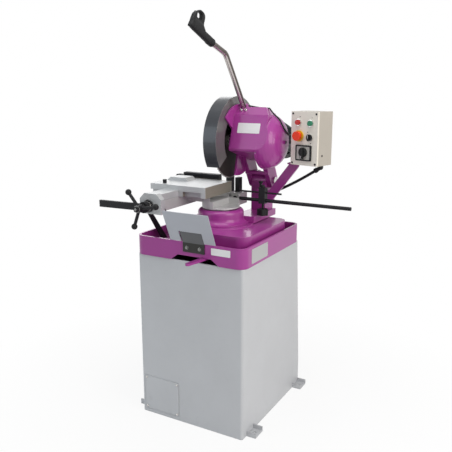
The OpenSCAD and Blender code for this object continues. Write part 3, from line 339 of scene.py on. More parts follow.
@dataclass(frozen=True)
class Finish(ABC):
    """A surface finish; its kinds say how colour, roughness and height vary."""

    name: str
    tint: Colour
    roughness: float
    metallic: float = 0.0
    coat: float = 0.0
    soften: float = 1.2 * MM
    gloss: float = 0.5

    @abstractmethod
    def surface(self, graph: Graph) -> Skin:
        """Says how the surface varies.

        Args:
            graph: the material's graph.

        Returns:
            The finish's skin.
        """

    def shade(self, factor: float) -> Colour:
        """The tint made lighter or darker."""
        return shaded(self.tint, factor)

    def faded(self, share: float, lift: float) -> Colour:
        """A share of the tint, lifted towards white."""
        return tuple(share * channel + lift for channel in self.tint)

    def mottle(self, graph: Graph, darkest: float, lightest: float, by: Sock) -> Sock:
        """Varies the tint between two shades.

        Args:
            graph: the material's graph.
            darkest: factor of the dark shade.
            lightest: factor of the light shade.
            by: value from 0 to 1 that blends them.

        Returns:
            The mottled colour.
        """
        return graph.mix(self.shade(darkest), self.shade(lightest), by)

    def material(self) -> bpy.types.Material:
        """Makes the material, once.

        Returns:
            The material of this finish.
        """
        known = bpy.data.materials.get(self.name)
        if known is not None and known.get("dressed"):
            return known
        made = bpy.data.materials.new(self.name)
        made["dressed"] = True
        graph = Graph(made)
        skin = self.surface(graph)
        relief = {
            "Strength": 1.0,
            "Distance": skin.depth,
            "Height": skin.height,
            "Normal": graph.soft_normal(self.soften),
        }
        graph.show(graph.node("ShaderNodeBsdfPrincipled", sockets={
            "Base Color": skin.colour,
            "Roughness": skin.rough,
            "Metallic": self.metallic,
            "Specular IOR Level": self.gloss,
            "Coat Weight": self.coat,
            "Coat Roughness": COAT_ROUGHNESS,
            "Normal": graph.node("ShaderNodeBump", sockets=relief),
        }))
        made.diffuse_color = (*self.tint, 1.0)
        return made


@dataclass(frozen=True)
class Paint(Finish):
    """Sprayed paint with orange peel, dust on it and worn edges."""

    wear_and_sheen: float = 0.35
    dust: float = 0.12
    rubbed_width: float = 1.6 * MM
    peel_depth: float = 0.06 * MM

    def surface(self, graph: Graph) -> Skin:
        """Clouds, dusts and rubs sprayed paint.

        Args:
            graph: the material's graph.

        Returns:
            The paint's skin.
        """
        peel = graph.noise(scale=420.0, detail=2.0)
        cloud = graph.noise(scale=6.0, detail=3.0)
        speck = graph.noise(scale=70.0, detail=5.0)
        worn = graph.edges(self.rubbed_width) * speck.above(low=0.42, high=0.62) * self.wear_and_sheen
        grime = speck.above(low=0.58, high=0.8) * self.dust
        colour = self.mottle(graph, darkest=0.93, lightest=1.06, by=cloud)
        colour = graph.mix(colour, self.faded(share=0.5, lift=0.28), worn)
        colour = graph.mix(colour, self.shade(0.72), grime)
        rough = self.roughness + cloud.swing(0.1) + grime * 0.5 + worn * 0.3
        return Skin(colour, rough, peel, self.peel_depth)


@dataclass(frozen=True)
class StandPaint(Paint):
    """Powder paint of the cabinet, a little scuffed towards the floor."""

    scuffed_to: float = 0.16
    grain_depth: float = 0.09 * MM

    def surface(self, graph: Graph) -> Skin:
        """Scuffs the cabinet's powder paint near the floor.

        Args:
            graph: the material's graph.

        Returns:
            The paint's skin.
        """
        skin = super().surface(graph)
        scuff = graph.noise(scale=26.0, detail=6.0, stretch=(1.0, 1.0, 0.35)).above(low=0.56, high=0.74)
        near_floor = 1.0 - graph.part("Z").above(low=0.0, high=self.scuffed_to)
        colour = graph.mix(skin.colour, self.shade(0.78), scuff * near_floor * 0.55)
        return Skin(colour, skin.rough, graph.noise(scale=650.0, detail=3.0), self.grain_depth)


@dataclass(frozen=True)
class Casting(Finish):
    """Painted sand casting, with a pebbled skin."""

    edge_width: float = 1.5 * MM
    sand_depth: float = 0.22 * MM

    def surface(self, graph: Graph) -> Skin:
        """Pebbles a casting and lightens its edges.

        Args:
            graph: the material's graph.

        Returns:
            The casting's skin.
        """
        sand = graph.noise(scale=260.0, detail=6.0)
        cloud = graph.noise(scale=14.0, detail=4.0)
        colour = self.mottle(graph, darkest=0.86, lightest=1.08, by=cloud)
        colour = graph.mix(colour, self.shade(1.22), graph.edges(self.edge_width) * 0.5)
        colour = graph.mix(colour, self.shade(0.6), sand.above(low=0.62, high=0.82) * 0.4)
        return Skin(colour, self.roughness + sand.swing(0.3), sand, self.sand_depth)


@dataclass(frozen=True)
class JawCasting(Casting):
    """Vise casting whose right flank beside the blade is machined bare."""

    bare: Colour = (0.255, 0.235, 0.195)
    bare_from: float = -0.1225
    bare_blend: float = 0.002

    def surface(self, graph: Graph) -> Skin:
        """Bares the flank of the jaw.

        Args:
            graph: the material's graph.

        Returns:
            The jaw's skin.
        """
        skin = super().surface(graph)
        behind = graph.part("Y").above(low=self.bare_from, high=self.bare_from + self.bare_blend)
        flank = graph.facing("X").above(low=0.6, high=0.8) * behind
        marks = graph.noise(scale=1200.0, detail=3.0, stretch=(1.0, 0.05, 1.0))
        ground = graph.mix(shaded(self.bare, 0.84), shaded(self.bare, 1.14), marks)
        return Skin(graph.mix(skin.colour, ground, flank), skin.rough, skin.height, skin.depth)


@dataclass(frozen=True)
class WorkedMetal(Finish):
    """Ground, turned or brushed metal with marks along one axis."""

    along: Axis = Axis.X
    bright_edge: float = 0.4
    edge_width: float = 1.0 * MM
    mark_stretch: float = 0.05
    mark_depth: float = 0.03 * MM

    def surface(self, graph: Graph) -> Skin:
        """Marks and stains worked metal.

        Args:
            graph: the material's graph.

        Returns:
            The metal's skin.
        """
        stretch = tuple(self.mark_stretch if part else 1.0 for part in self.along.value)
        marks = graph.noise(scale=1500.0, detail=3.0, stretch=stretch)
        stain = graph.noise(scale=22.0, detail=5.0)
        edge = graph.edges(self.edge_width) * self.bright_edge
        colour = self.mottle(graph, darkest=0.84, lightest=1.1, by=marks)
        colour = graph.mix(colour, self.shade(0.68), stain.above(low=0.55, high=0.8) * 0.5)
        colour = graph.mix(colour, self.faded(share=0.6, lift=0.32), edge)
        rough = self.roughness + marks.swing(0.22) + stain.above(low=0.5, high=0.8) * 0.12
        return Skin(colour, rough, marks, self.mark_depth)


@dataclass(frozen=True)
class LeverSteel(WorkedMetal):
    """Polished lever tube with a painted dark reflection on both sides."""

    painted_dark_reflection: Colour = (0.050, 0.035, 0.028)

    def surface(self, graph: Graph) -> Skin:
        """Paints a dark reflection on the sides of the lever tube.

        Args:
            graph: the material's graph.

        Returns:
            The tube's skin.
        """
        skin = super().surface(graph)
        right = graph.facing("X")
        # painted reflection: the tube's right and left sides are darkened, patchily, in place of dark
        # surroundings mirrored in the steel
        sides = right.above(low=0.70, high=0.84) * 0.9 + (1.0 - right.above(low=-0.5, high=-0.1)) * 0.6
        patchy = graph.noise(scale=40.0, detail=4.0) * 0.4 + 0.75
        colour = graph.mix(skin.colour, self.painted_dark_reflection, sides * patchy)
        return Skin(colour, skin.rough, skin.height, skin.depth)


@dataclass(frozen=True)
class BracketSteel(WorkedMetal):
    """Black folded sheet whose sloping leaf carries a painted grey sheen."""

    # painted sheen: the grey given to the sloping leaf in place of the light it catches from above
    wear_and_sheen: Colour = (0.105, 0.11, 0.118)

    def surface(self, graph: Graph) -> Skin:
        """Paints a grey sheen on the sloping leaf of the bracket.

        Args:
            graph: the material's graph.

        Returns:
            The bracket's skin.
        """
        skin = super().surface(graph)
        # painted sheen: faces that tilt up or down are lightened towards the grey
        sloped_leaf_sheen = abs(graph.facing("Z")).above(low=0.06, high=0.14)
        colour = graph.mix(skin.colour, self.wear_and_sheen, sloped_leaf_sheen * 0.9)
        return Skin(colour, skin.rough, skin.height, skin.depth)


@dataclass(frozen=True)
class BladeSteel(Finish):
    """Dark oxide tool steel, ground in rings and bright at the teeth."""

    centre: Point = (0.0, 0.0, 0.0)
    teeth_at: float = 0.166
    teeth_blend: float = 0.004
    teeth_tint: Colour = (0.46, 0.44, 0.42)
    ring_turns: float = 5200.0
    ring_depth: float = 0.02 * MM

    def surface(self, graph: Graph) -> Skin:
        """Rings the blade and brightens its teeth.

        Args:
            graph: the material's graph.

        Returns:
            The blade's skin.
        """
        across = graph.part("Y") - self.centre[1]
        up = graph.part("Z") - self.centre[2]
        radius = (across * across + up * up) ** 0.5
        rings = (radius * self.ring_turns).wave() * 0.5 + 0.5
        blotch = graph.noise(scale=30.0, detail=5.0)
        bright = radius.above(low=self.teeth_at, high=self.teeth_at + self.teeth_blend)
        colour = self.mottle(graph, darkest=0.8, lightest=1.25, by=rings * 0.5 + blotch * 0.5)
        colour = graph.mix(colour, self.teeth_tint, bright * 0.75)
        return Skin(colour, self.roughness + rings.swing(0.12) - bright * 0.1, rings, self.ring_depth)


@dataclass(frozen=True)
class GuardMetal(Finish):
    """Spun guard sheet, brushed and scuffed by chips, with a painted reflection that darkens the rim and
    pales the flanks, and painted highlights on its edges.
    """

    # painted reflection: the flanks' paler tone, set against the dark tint of the rim
    flank: Colour = (0.150, 0.146, 0.143)
    edge_highlight_tint: Colour = (0.36, 0.36, 0.36)
    edge_width: float = 1.4 * MM
    brush_depth: float = 0.008 * MM

    def surface(self, graph: Graph) -> Skin:
        """Brushes the guard, paints its rim darker and its flanks paler as a painted reflection, and paints
        highlights on its edges.

        Args:
            graph: the material's graph.

        Returns:
            The guard's skin.
        """
        brushed = graph.noise(scale=900.0, detail=3.0, stretch=(1.0, 0.06, 0.06))
        chips = graph.noise(scale=120.0, detail=5.0).above(low=0.62, high=0.8)
        cloud = graph.noise(scale=18.0, detail=4.0)
        # painted reflection: the rim takes the dark tint and the flanks, by the way they face, the paler one;
        # the edges get a painted highlight
        rim = self.mottle(graph, darkest=0.86, lightest=1.14, by=brushed)
        side = graph.mix(shaded(self.flank, 0.86), shaded(self.flank, 1.1), cloud)
        colour = graph.mix(rim, side, abs(graph.facing("X")).above(low=0.55, high=0.85))
        colour = graph.mix(colour, self.edge_highlight_tint, graph.edges(self.edge_width) * 0.5)
        colour = graph.mix(colour, self.shade(0.6), chips * 0.12)
        return Skin(colour, self.roughness + brushed.swing(0.12) + chips * 0.05, brushed, self.brush_depth)


@dataclass(frozen=True)
class Moulding(Finish):
    """Moulded plastic with a fine spark-eroded grain, whose depth is in millimetres."""

    grain: float = 0.08
    edge_width: float = 1.2 * MM

    def surface(self, graph: Graph) -> Skin:
        """Grains moulded plastic and pales its edges.

        Args:
            graph: the material's graph.

        Returns:
            The plastic's skin.
        """
        grain = graph.noise(scale=1300.0, detail=2.0)
        cloud = graph.noise(scale=20.0, detail=3.0)
        colour = self.mottle(graph, darkest=0.92, lightest=1.06, by=cloud)
        colour = graph.mix(colour, self.faded(share=0.8, lift=0.03), graph.edges(self.edge_width) * 0.5)
        return Skin(colour, self.roughness + grain.swing(0.16), grain, self.grain * MM)


PURPLE = Paint("purple_paint", (0.34, 0.040, 0.268), 0.3, coat=0.25, gloss=0.35, soften=2.2 * MM)
STAND_GREY = StandPaint("stand_paint", (0.535, 0.548, 0.572), 0.46, soften=7.0 * MM, wear_and_sheen=0.2)
CAST_GREY = Casting("bed_casting", (0.52, 0.52, 0.52), 0.42, metallic=0.2, soften=2.0 * MM)
JAW_CASTING = JawCasting("jaw_casting", (0.50, 0.51, 0.52), 0.40, metallic=0.2, soften=2.0 * MM)
JAW_STEEL = WorkedMetal("jaw_steel", (0.34, 0.31, 0.26), 0.4, metallic=0.5)
BRIGHT = WorkedMetal("bright_steel", (0.62, 0.61, 0.59), 0.24, metallic=1.0)
LEVER_STEEL = LeverSteel("lever_steel", (0.60, 0.56, 0.535), 0.2, metallic=0.9, along=Axis.Z)
BLACK_STEEL = WorkedMetal(
    "black_steel", (0.012, 0.012, 0.014), 0.5, metallic=0.1, gloss=0.22, bright_edge=0.08
)
BRACKET_STEEL = BracketSteel("bracket_steel", (0.018, 0.018, 0.016), 0.36, metallic=0.3, bright_edge=0.2)
# painted highlight: bright_edge near 1 lifts the edges of the clip heads and the handwheel stud almost to
# white
EDGE_LIT_CLIP_STEEL = WorkedMetal("clip_steel_edge_lit", (0.20, 0.20, 0.195), 0.25, metallic=0.9, bright_edge=0.95)
BRONZE = WorkedMetal("bronze", (0.50, 0.33, 0.12), 0.3, metallic=1.0)
# painted reflection: this dark tint is the rim's, darkened in place of the surroundings it mirrors
GUARD_GREY = GuardMetal(
    "guard_metal", (0.028, 0.032, 0.040), 0.3, metallic=0.3, coat=0.25, soften=2.0 * MM
)
SHEET_GREY = Paint("splash_paint", (0.42, 0.44, 0.485), 0.42, metallic=0.1, wear_and_sheen=0.4)
BLACK_PLASTIC = Moulding("black_plastic", (0.010, 0.010, 0.011), 0.5, gloss=0.2)
SHEATH = Moulding("cable_sheath", (0.012, 0.012, 0.013), 0.55, gloss=0.2, grain=0.05)
# painted shade: the box body is painted much darker than its lid so that its sides read shaded
BOX_SHADED_GREY = Paint("box_paint_shaded", (0.45, 0.415, 0.365), 0.5, wear_and_sheen=0.1, dust=0.06)
LID_GREY = Paint("lid_paint", (0.80, 0.75, 0.665), 0.46, wear_and_sheen=0.1, dust=0.06)
SWITCH_GREY = Moulding("switch_plate_grey", (0.42, 0.40, 0.37), 0.4)
RED = Moulding("red_plastic", (0.55, 0.012, 0.01), 0.34, coat=0.1, gloss=0.3, grain=0.02)
ORANGE_RED = Moulding("estop_red", (0.84, 0.040, 0.006), 0.34, coat=0.1, gloss=0.25, grain=0.02)
GREEN = Moulding("green_plastic", (0.010, 0.20, 0.095), 0.34, coat=0.1, gloss=0.3, grain=0.02)
YELLOW = Moulding("yellow_plastic", (0.88, 0.50, 0.02), 0.34, coat=0.1, gloss=0.3, grain=0.02)
MOTOR_DARK = Paint("motor_paint", (0.020, 0.031, 0.031), 0.42, gloss=0.3, wear_and_sheen=0.25)
TANK_GREY = Paint("tank_paint", (0.11, 0.115, 0.12), 0.5)
PLATE_WHITE = Paint("plate_white", (0.78, 0.78, 0.79), 0.35, soften=0.3 * MM, wear_and_sheen=0.0)
PLATE_SILVER = Paint(
    "plate_silver", (0.44, 0.445, 0.45), 0.35, metallic=0.3, soften=0.3 * MM, wear_and_sheen=0.0
)
MARK_WHITE = Moulding("mark_white", (0.82, 0.82, 0.80), 0.45, soften=0.2 * MM, grain=0.01)


@dataclass
class Workshop:
    """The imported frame, what dresses its nodes and what adds pieces to it."""

    frame: dict[str, Any]
    made: list[str] = field(default_factory=list)

    def dress(self, finish: Finish, *nodes: str) -> None:
        """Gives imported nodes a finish.

        Args:
            finish: the finish.
            *nodes: names of the nodes.
        """
        for name in nodes:
            slots = self.frame["nodes"][name].data.materials
            slots.clear()
            slots.append(finish.material())
            LOG.info("dressed %s with %s", name, finish.name)

    def add(self, name: str, mesh: bmesh.types.BMesh, finish: Finish, body: str) -> bpy.types.Object:
        """Turns a mesh into a piece that rides on a body.

        Args:
            name: the piece's name.
            mesh: its mesh in the shared frame, freed here.
            finish: its finish.
            body: the body that carries it.

        Returns:
            The new object.
        """
        bmesh.ops.recalc_face_normals(mesh, faces=mesh.faces)
        data = bpy.data.meshes.new(name)
        mesh.to_mesh(data)
        mesh.free()
        piece = bpy.data.objects.new(name, data)
        bpy.context.scene.collection.objects.link(piece)
        data.materials.append(finish.material())
        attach(piece, body)
        self.made.append(name)
        LOG.info("made %s on %s", name, body)
        return piece


class Forms:
    """Mesh builders shared by the sub-assemblies."""

    @staticmethod
    def facing(origin: Vector, normal: Vector, up: Vector = UPWARDS) -> Matrix:
        """Frame with Z along a normal and Y near an up direction.

        Args:
            origin: the frame's origin.
            normal: its Z axis.
            up: direction that Y leans to.

        Returns:
            The placing matrix.
        """
        z = normal.normalized()
        x = up.cross(z).normalized()
        y = z.cross(x)
        turn = Matrix((x, y, z)).transposed().to_4x4()
        return Matrix.Translation(origin) @ turn

    @staticmethod
    def around(place: Matrix, reaches: Sequence[float], height: float) -> list[Vector]:
        """Closed loop about Z, from its reach in evenly spaced directions.

        Args:
            place: placing matrix.
            reaches: distance from the axis in each direction.
            height: height along Z.

        Returns:
            The loop's points.
        """
        loop = []
        for step, reach in enumerate(reaches):
            angle = 2 * math.pi * step / len(reaches)
            loop.append(place @ Vector((reach * math.cos(angle), reach * math.sin(angle), height)))
        return loop

    @staticmethod
    def ribbed(place: Matrix, root: float, rib: float, ribs: int) -> list[Vector]:
        """Closed loop with square ribs.

        Args:
            place: placing matrix.
            root: radius between the ribs.
            rib: height of a rib.
            ribs: how many there are.

        Returns:
            The loop's points, four to a rib.
        """
        return Forms.around(place, [root + rib, root + rib, root, root] * ribs, 0.0)

    @staticmethod
    def hexagon(radius: float, sides: int) -> list[float]:
        """Reaches of a hexagon in evenly spaced directions.

        Args:
            radius: distance to its corners.
            sides: how many directions.

        Returns:
            The reaches.
        """
        reaches = []
        for step in range(sides):
            from_flat = (2 * math.pi * step / sides) % (math.pi / 3) - math.pi / 6
            reaches.append(radius * math.cos(math.pi / 6) / math.cos(from_flat))
        return reaches

    @staticmethod
    def lifted(place: Matrix, outline: Sequence[Pair], height: float, size: float = 1.0) -> list[Vector]:
        """Closed loop from a flat outline.

        Args:
            place: placing matrix.
            outline: the outline's points.
            height: height along Z.
            size: scale of the outline.

        Returns:
            The loop's points.
        """
        return [place @ Vector((x * size, y * size, height)) for x, y in outline]

    @staticmethod
    def shells(mesh: bmesh.types.BMesh, loops: Sequence[Sequence[Vector]], capped: bool) -> None:
        """Skins a row of closed loops of equal count.

        Args:
            mesh: the mesh that receives it.
            loops: the loops in order.
            capped: True to close the two ends, False to join the last loop to the first.
        """
        rows = [[mesh.verts.new(point) for point in loop] for loop in loops]
        count = len(rows[0])
        pairs = list(zip(rows, rows[1:]))
        if not capped:
            pairs.append((rows[-1], rows[0]))
        for low, high in pairs:
            for step in range(count):
                after = (step + 1) % count
                mesh.faces.new((low[step], low[after], high[after], high[step]))
        if capped:
            mesh.faces.new(list(reversed(rows[0])))
            mesh.faces.new(rows[-1])

    @staticmethod
    def turned(
        mesh: bmesh.types.BMesh,
        profile: Sequence[Pair],
        place: Matrix,
        sides: int = 40,
        capped: bool = True,
    ) -> None:
        """Adds a turned form about Z.

        Args:
            mesh: the mesh that receives it.
            profile: radius and height pairs in millimetres, from the first cap to the last.
            place: placing matrix.
            sides: divisions of the circle.
            capped: False for a ring, whose last pair joins the first.
        """
        loops = [Forms.around(place, [radius * MM] * sides, height * MM) for radius, height in profile]
        Forms.shells(mesh, loops, capped)

    @staticmethod
    def screw(mesh: bmesh.types.BMesh, place: Matrix, size: Pair, head: ScrewHead) -> None:
        """Adds a screw head with its drive.

        Args:
            mesh: the mesh that receives it.
            place: frame on the seat, Z outwards.
            size: head radius and head height.
            head: form of the drive.
        """
        sides = 36
        radius, height = size
        if head is ScrewHead.HEX:
            steps = ((1.25, 0, False), (1.25, 0.18, False), (1.0, 0.18, True), (1.0, 0.86, True),
                     (0.84, 1.0, False), (0.3, 1.0, False))
        else:
            steps = ((1.0, 0, False), (1.0, 0.78, False), (0.9, 1.0, False), (0.56, 1.0, True),
                     (0.52, 0.35, True), (0.2, 0.3, True))
        loops = []
        for wide, high, six in steps:
            reaches = Forms.hexagon(radius * wide, sides) if six else [radius * wide] * sides
            loops.append(Forms.around(place, reaches, height * high))
        Forms.shells(mesh, loops, True)

    @staticmethod
    def rounded(width: float, height: float, radius: float, steps: int = 6) -> list[Pair]:
        """Outline of a rounded rectangle about the origin.

        Args:
            width: across.
            height: up.
            radius: corner radius.
            steps: divisions of a corner.

        Returns:
            The outline's points.
        """
        points = []
        for quarter, (right, up) in enumerate(((1, 1), (-1, 1), (-1, -1), (1, -1))):
            for step in range(steps + 1):
                angle = math.pi / 2 * (quarter + step / steps)
                points.append((right * (width / 2 - radius) + radius * math.cos(angle),
                               up * (height / 2 - radius) + radius * math.sin(angle)))
        return points

    @staticmethod
    def plate(
        mesh: bmesh.types.BMesh, outline: Sequence[Pair], thick: float, edge: float, place: Matrix
    ) -> None:
        """Adds a thin plate with a chamfered face.

        Args:
            mesh: the mesh that receives it.
            outline: its outline.
            thick: its thickness.
            edge: chamfer of the face.
            place: frame on the seat, Z outwards.
        """
        reach = max(abs(c) for p in outline for c in p)
        steps = ((0.0, 1.0), (thick - edge, 1.0), (thick, 1 - edge / reach))
        Forms.shells(mesh, [Forms.lifted(place, outline, height, size) for height, size in steps], True)

    @staticmethod
    def settle(piece: bpy.types.Object) -> None:
        """Applies a piece's modifiers to its mesh.

        Args:
            piece: the piece.
        """
        evaluated = piece.evaluated_get(bpy.context.evaluated_depsgraph_get())
        materials = list(piece.data.materials)
        data = bpy.data.meshes.new_from_object(evaluated)
        piece.modifiers.clear()
        piece.data = data
        data.materials.clear()
        for material in materials:
            data.materials.append(material)

    @staticmethod
    def fuse(piece: bpy.types.Object, voxel: float, passes: int) -> None:
        """Melts overlapping shells into one smooth moulding.

        Args:
            piece: the piece.
            voxel: size of the remesh.
            passes: smoothing passes.
        """
        remesh = piece.modifiers.new("fuse", "REMESH")
        remesh.mode = "VOXEL"
        remesh.voxel_size = voxel
        remesh.use_smooth_shade = True
        soften = piece.modifiers.new("soften", "SMOOTH")
        soften.iterations = passes
        soften.factor = 0.5
        Forms.settle(piece)

    @staticmethod
    def cut(piece: bpy.types.Object, cutter: bmesh.types.BMesh) -> None:
        """Takes a closed mesh out of a piece.

        Args:
            piece: the piece.
            cutter: the mesh that is taken out, freed here.
        """
        bmesh.ops.recalc_face_normals(cutter, faces=cutter.faces)
        data = bpy.data.meshes.new("cutter")
        cutter.to_mesh(data)
        cutter.free()
        tool = bpy.data.objects.new("cutter", data)
        bpy.context.scene.collection.objects.link(tool)
        step = piece.modifiers.new("cut", "BOOLEAN")
        step.operation = "DIFFERENCE"
        step.solver = "EXACT"
        step.object = tool
        Forms.settle(piece)
        bpy.data.objects.remove(tool)
        bpy.data.meshes.remove(data)

    @staticmethod
    def smooth_path(points: Sequence[Vector], per_leg: int = 4) -> list[Vector]:
        """Rounds a route with a Catmull-Rom curve.

        Args:
            points: the route.
            per_leg: divisions of a leg.

        Returns:
            The finer route.
        """
        made = []
        for i in range(len(points) - 1):
            a, b = points[max(i - 1, 0)], points[i]
            c, d = points[i + 1], points[min(i + 2, len(points) - 1)]
            for step in range(per_leg):
                t = step / per_leg
                made.append(0.5 * ((2 * b) + (c - a) * t + (2 * a - 5 * b + 4 * c - d) * t**2
                                   + (3 * b - a - 3 * c + d) * t**3))
        made.append(points[-1].copy())
        return made


@dataclass
class Cable:
    """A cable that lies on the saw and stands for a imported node."""

    name: str
    node: str
    body: str
    radius: float
    bend: Bend
    bevel_steps: int = 5

    def lay(self, route: Sequence[Vector]) -> None:
        """Args:
            route: points in the shared frame.
        """
        fine = Forms.smooth_path(route)
        curve = bpy.data.curves.new(self.name, "CURVE")
        curve.dimensions = "3D"
        curve.bevel_depth = self.radius
        curve.bevel_resolution = self.bevel_steps
        curve.use_fill_caps = True
        spline = curve.splines.new("POLY")
        spline.points.add(len(fine) - 1)
        for point, place in zip(spline.points, fine):
            point.co = (*place, 1.0)
        piece = bpy.data.objects.new(self.name, curve)
        bpy.context.scene.collection.objects.link(piece)
        curve.materials.append(SHEATH.material())
        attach(piece, self.body)
        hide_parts(self.node)
        length = sum((b - a).length for a, b in zip(fine, fine[1:]))
        LOG.info("made %s, %.0f mm long", self.name, length / MM)


@dataclass
class Stand:
    """Cabinet, feet, tank and chip tray."""

    shop: Workshop
    panel_screw: Pair = (5.0 * MM, 2.8 * MM)
    panel_screw_inset: float = 4.0 * MM
    front_plate: Pair = (0.090, 0.029)
    front_plate_x: float = 0.162
    front_plate_up: float = 0.060
    side_plate: Pair = (0.150, 0.062)
    side_plate_y: float = -0.144
    side_plate_up: float = 0.042
    plate_corner: float = 0.003
    plate_thick: float = 1.0 * MM
    plate_edge: float = 0.4 * MM
    rivet: Pair = (2.4 * MM, 1.6 * MM)
    rivet_at: Pair = (0.070, 0.026)

    def build(self) -> None:
        """Dresses the cabinet and tray and adds their small hardware."""
        shop = self.shop
        shop.dress(STAND_GREY, "stand", "access_panel", "feet")
        shop.dress(PURPLE, "tray", "pedestal", "lock_lever")
        shop.dress(BRIGHT, "swivel_post", "panel_screws")
        shop.dress(EDGE_LIT_CLIP_STEEL, "plate_clips")
        shop.dress(SHEET_GREY, "splash_plate")
        shop.dress(BRACKET_STEEL, "plate_bracket")
        shop.dress(TANK_GREY, "coolant_tank")
        shop.dress(MOTOR_DARK, "coolant_pump")
        self.screws()
        self.plates()
        self.rivets()

    def screws(self) -> None:
        """Puts socket screws on the access panel."""
        low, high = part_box("panel_screws")
        inset = self.panel_screw_inset
        mesh = bmesh.new()
        for x in (low.x + inset, high.x - inset):
            for z in (low.z + inset, high.z - inset):
                seat = Forms.facing(Vector((x, high.y, z)), TO_FRONT)
                Forms.screw(mesh, seat, self.panel_screw, ScrewHead.SOCKET)
        piece = self.shop.add("panel_screw_heads", mesh, BRIGHT, "base")
        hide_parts("panel_screws")

    def side_seat(self) -> Matrix:
        """Frame on the tray's right side, where its plate sits."""
        low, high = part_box("tray")
        return Forms.facing(Vector((high.x, self.side_plate_y, low.z + self.side_plate_up)), TO_RIGHT)

    def plates(self) -> None:
        """Puts a blank white plate on the tray's front and a blank silver one on its right side."""
        low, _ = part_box("tray")
        front = Forms.facing(Vector((self.front_plate_x, low.y, low.z + self.front_plate_up)), TO_FRONT)
        for name, size, place, finish in (
            ("tray_front_plate", self.front_plate, front, PLATE_WHITE),
            ("tray_side_plate", self.side_plate, self.side_seat(), PLATE_SILVER),
        ):
            mesh = bmesh.new()
            outline = Forms.rounded(*size, self.plate_corner)
            Forms.plate(mesh, outline, self.plate_thick, self.plate_edge, place)
            self.shop.add(name, mesh, finish, "base")

    def rivets(self) -> None:
        """Puts a rivet in each corner of the side plate."""
        mesh = bmesh.new()
        place = self.side_seat()
        across, up = self.rivet_at
        for x in (-across, across):
            for y in (-up, up):
                seat = place @ Matrix.Translation((x, y, self.plate_thick))
                Forms.screw(mesh, seat, self.rivet, ScrewHead.SOCKET)
        self.shop.add("side_plate_rivets", mesh, BRIGHT, "base")


@dataclass
class Vise:
    """Bed, jaws, screw, handwheel and clamp lever; the turned profiles are in millimetres."""

    shop: Workshop
    strut_bolt: Pair = (7.0 * MM, 6.0 * MM)
    strut_bolt_inset: float = 0.014
    collar_ribs: int = 44
    collar_rib: float = 0.9 * MM
    collar: tuple[Pair, ...] = ((21.5, 0.4), (23.5, 1.4), (23.5, 11.0), (21.5, 12.0))
    stud_end: tuple[Pair, ...] = ((6.0, 0.0), (6.0, 2.2), (4.6, 3.4))
    washer: tuple[Pair, ...] = ((15.4, -10.0), (15.4, -8.8), (14.6, -8.2), (9.0, -8.2), (9.0, -10.0))
    washer_sides: int = 48

    def build(self) -> None:
        """Dresses the vise and adds its bolts, collar and stud."""
        shop = self.shop
        shop.dress(CAST_GREY, "vise_bed")
        shop.dress(JAW_CASTING, "moving_jaw")
        shop.dress(JAW_STEEL, "jaw_plate")
        shop.dress(BLACK_STEEL, "fixed_jaw_left", "fixed_jaw_right", "vise_struts")
        shop.dress(BLACK_STEEL, "handwheel", "clamp_lever", "jaw_lock_bolt")
        shop.dress(BRIGHT, "vise_screw")
        shop.dress(BRONZE, "vise_nut")
        shop.dress(BLACK_PLASTIC, "handwheel_balls")
        self.bolts()
        self.knurled_collar()
        self.stud()

    @staticmethod
    def on_screw(y: float) -> Matrix:
        """Frame on the vise screw's axis, Z towards the front."""
        low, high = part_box("vise_screw")
        return Forms.facing(Vector(((low.x + high.x) / 2, y, (low.z + high.z) / 2)), TO_FRONT)

    def knurled_collar(self) -> None:
        """Puts a knurled sleeve on the screw's collar in front of the housing."""
        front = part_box("moving_jaw")[0].y
        loops = []
        for root, ahead in self.collar:
            place = self.on_screw(front - ahead * MM)
            loops.append(Forms.ribbed(place, root * MM, self.collar_rib, self.collar_ribs))
        mesh = bmesh.new()
        Forms.shells(mesh, loops, True)
        self.shop.add("screw_collar_knurl", mesh, BLACK_STEEL, "wheel")

    def stud(self) -> None:
        """Puts the screw's bright end and a washer on the handwheel's hub nut."""
        place = self.on_screw(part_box("handwheel")[0].y)
        mesh = bmesh.new()
        Forms.turned(mesh, self.stud_end, place)
        Forms.turned(mesh, self.washer, place, self.washer_sides, capped=False)
        self.shop.add("handwheel_stud", mesh, EDGE_LIT_CLIP_STEEL, "wheel")

    def bolts(self) -> None:
        """Puts hexagon bolts at the upper ends of the struts."""
        low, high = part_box("vise_struts")
        inset = self.strut_bolt_inset
        mesh = bmesh.new()
        for x, outward in ((low.x, -TO_RIGHT), (high.x, TO_RIGHT)):
            seat = Forms.facing(Vector((x, low.y + inset, high.z - inset)), outward)
            Forms.screw(mesh, seat, self.strut_bolt, ScrewHead.HEX)
        self.shop.add("strut_bolts", mesh, BLACK_STEEL, "base")


@dataclass
class BarStop:
    """Rod, block and pin of the length stop."""

    shop: Workshop

    def build(self) -> None:
        """Dresses the bar stop."""
        self.shop.dress(BLACK_STEEL, "stop_rod", "stop_block", "stop_pin", "pin_knob")
        self.shop.dress(BLACK_PLASTIC, "stop_knob")


@dataclass
class Turntable:
    """Turning base, column, pivot and depth stop."""

    shop: Workshop

    def build(self) -> None:
        """Dresses the turntable and its column."""
        self.shop.dress(PURPLE, "turntable", "control_arm")
        self.shop.dress(BRIGHT, "pivot_pin", "return_spring")
        self.shop.dress(BLACK_STEEL, "depth_stop")


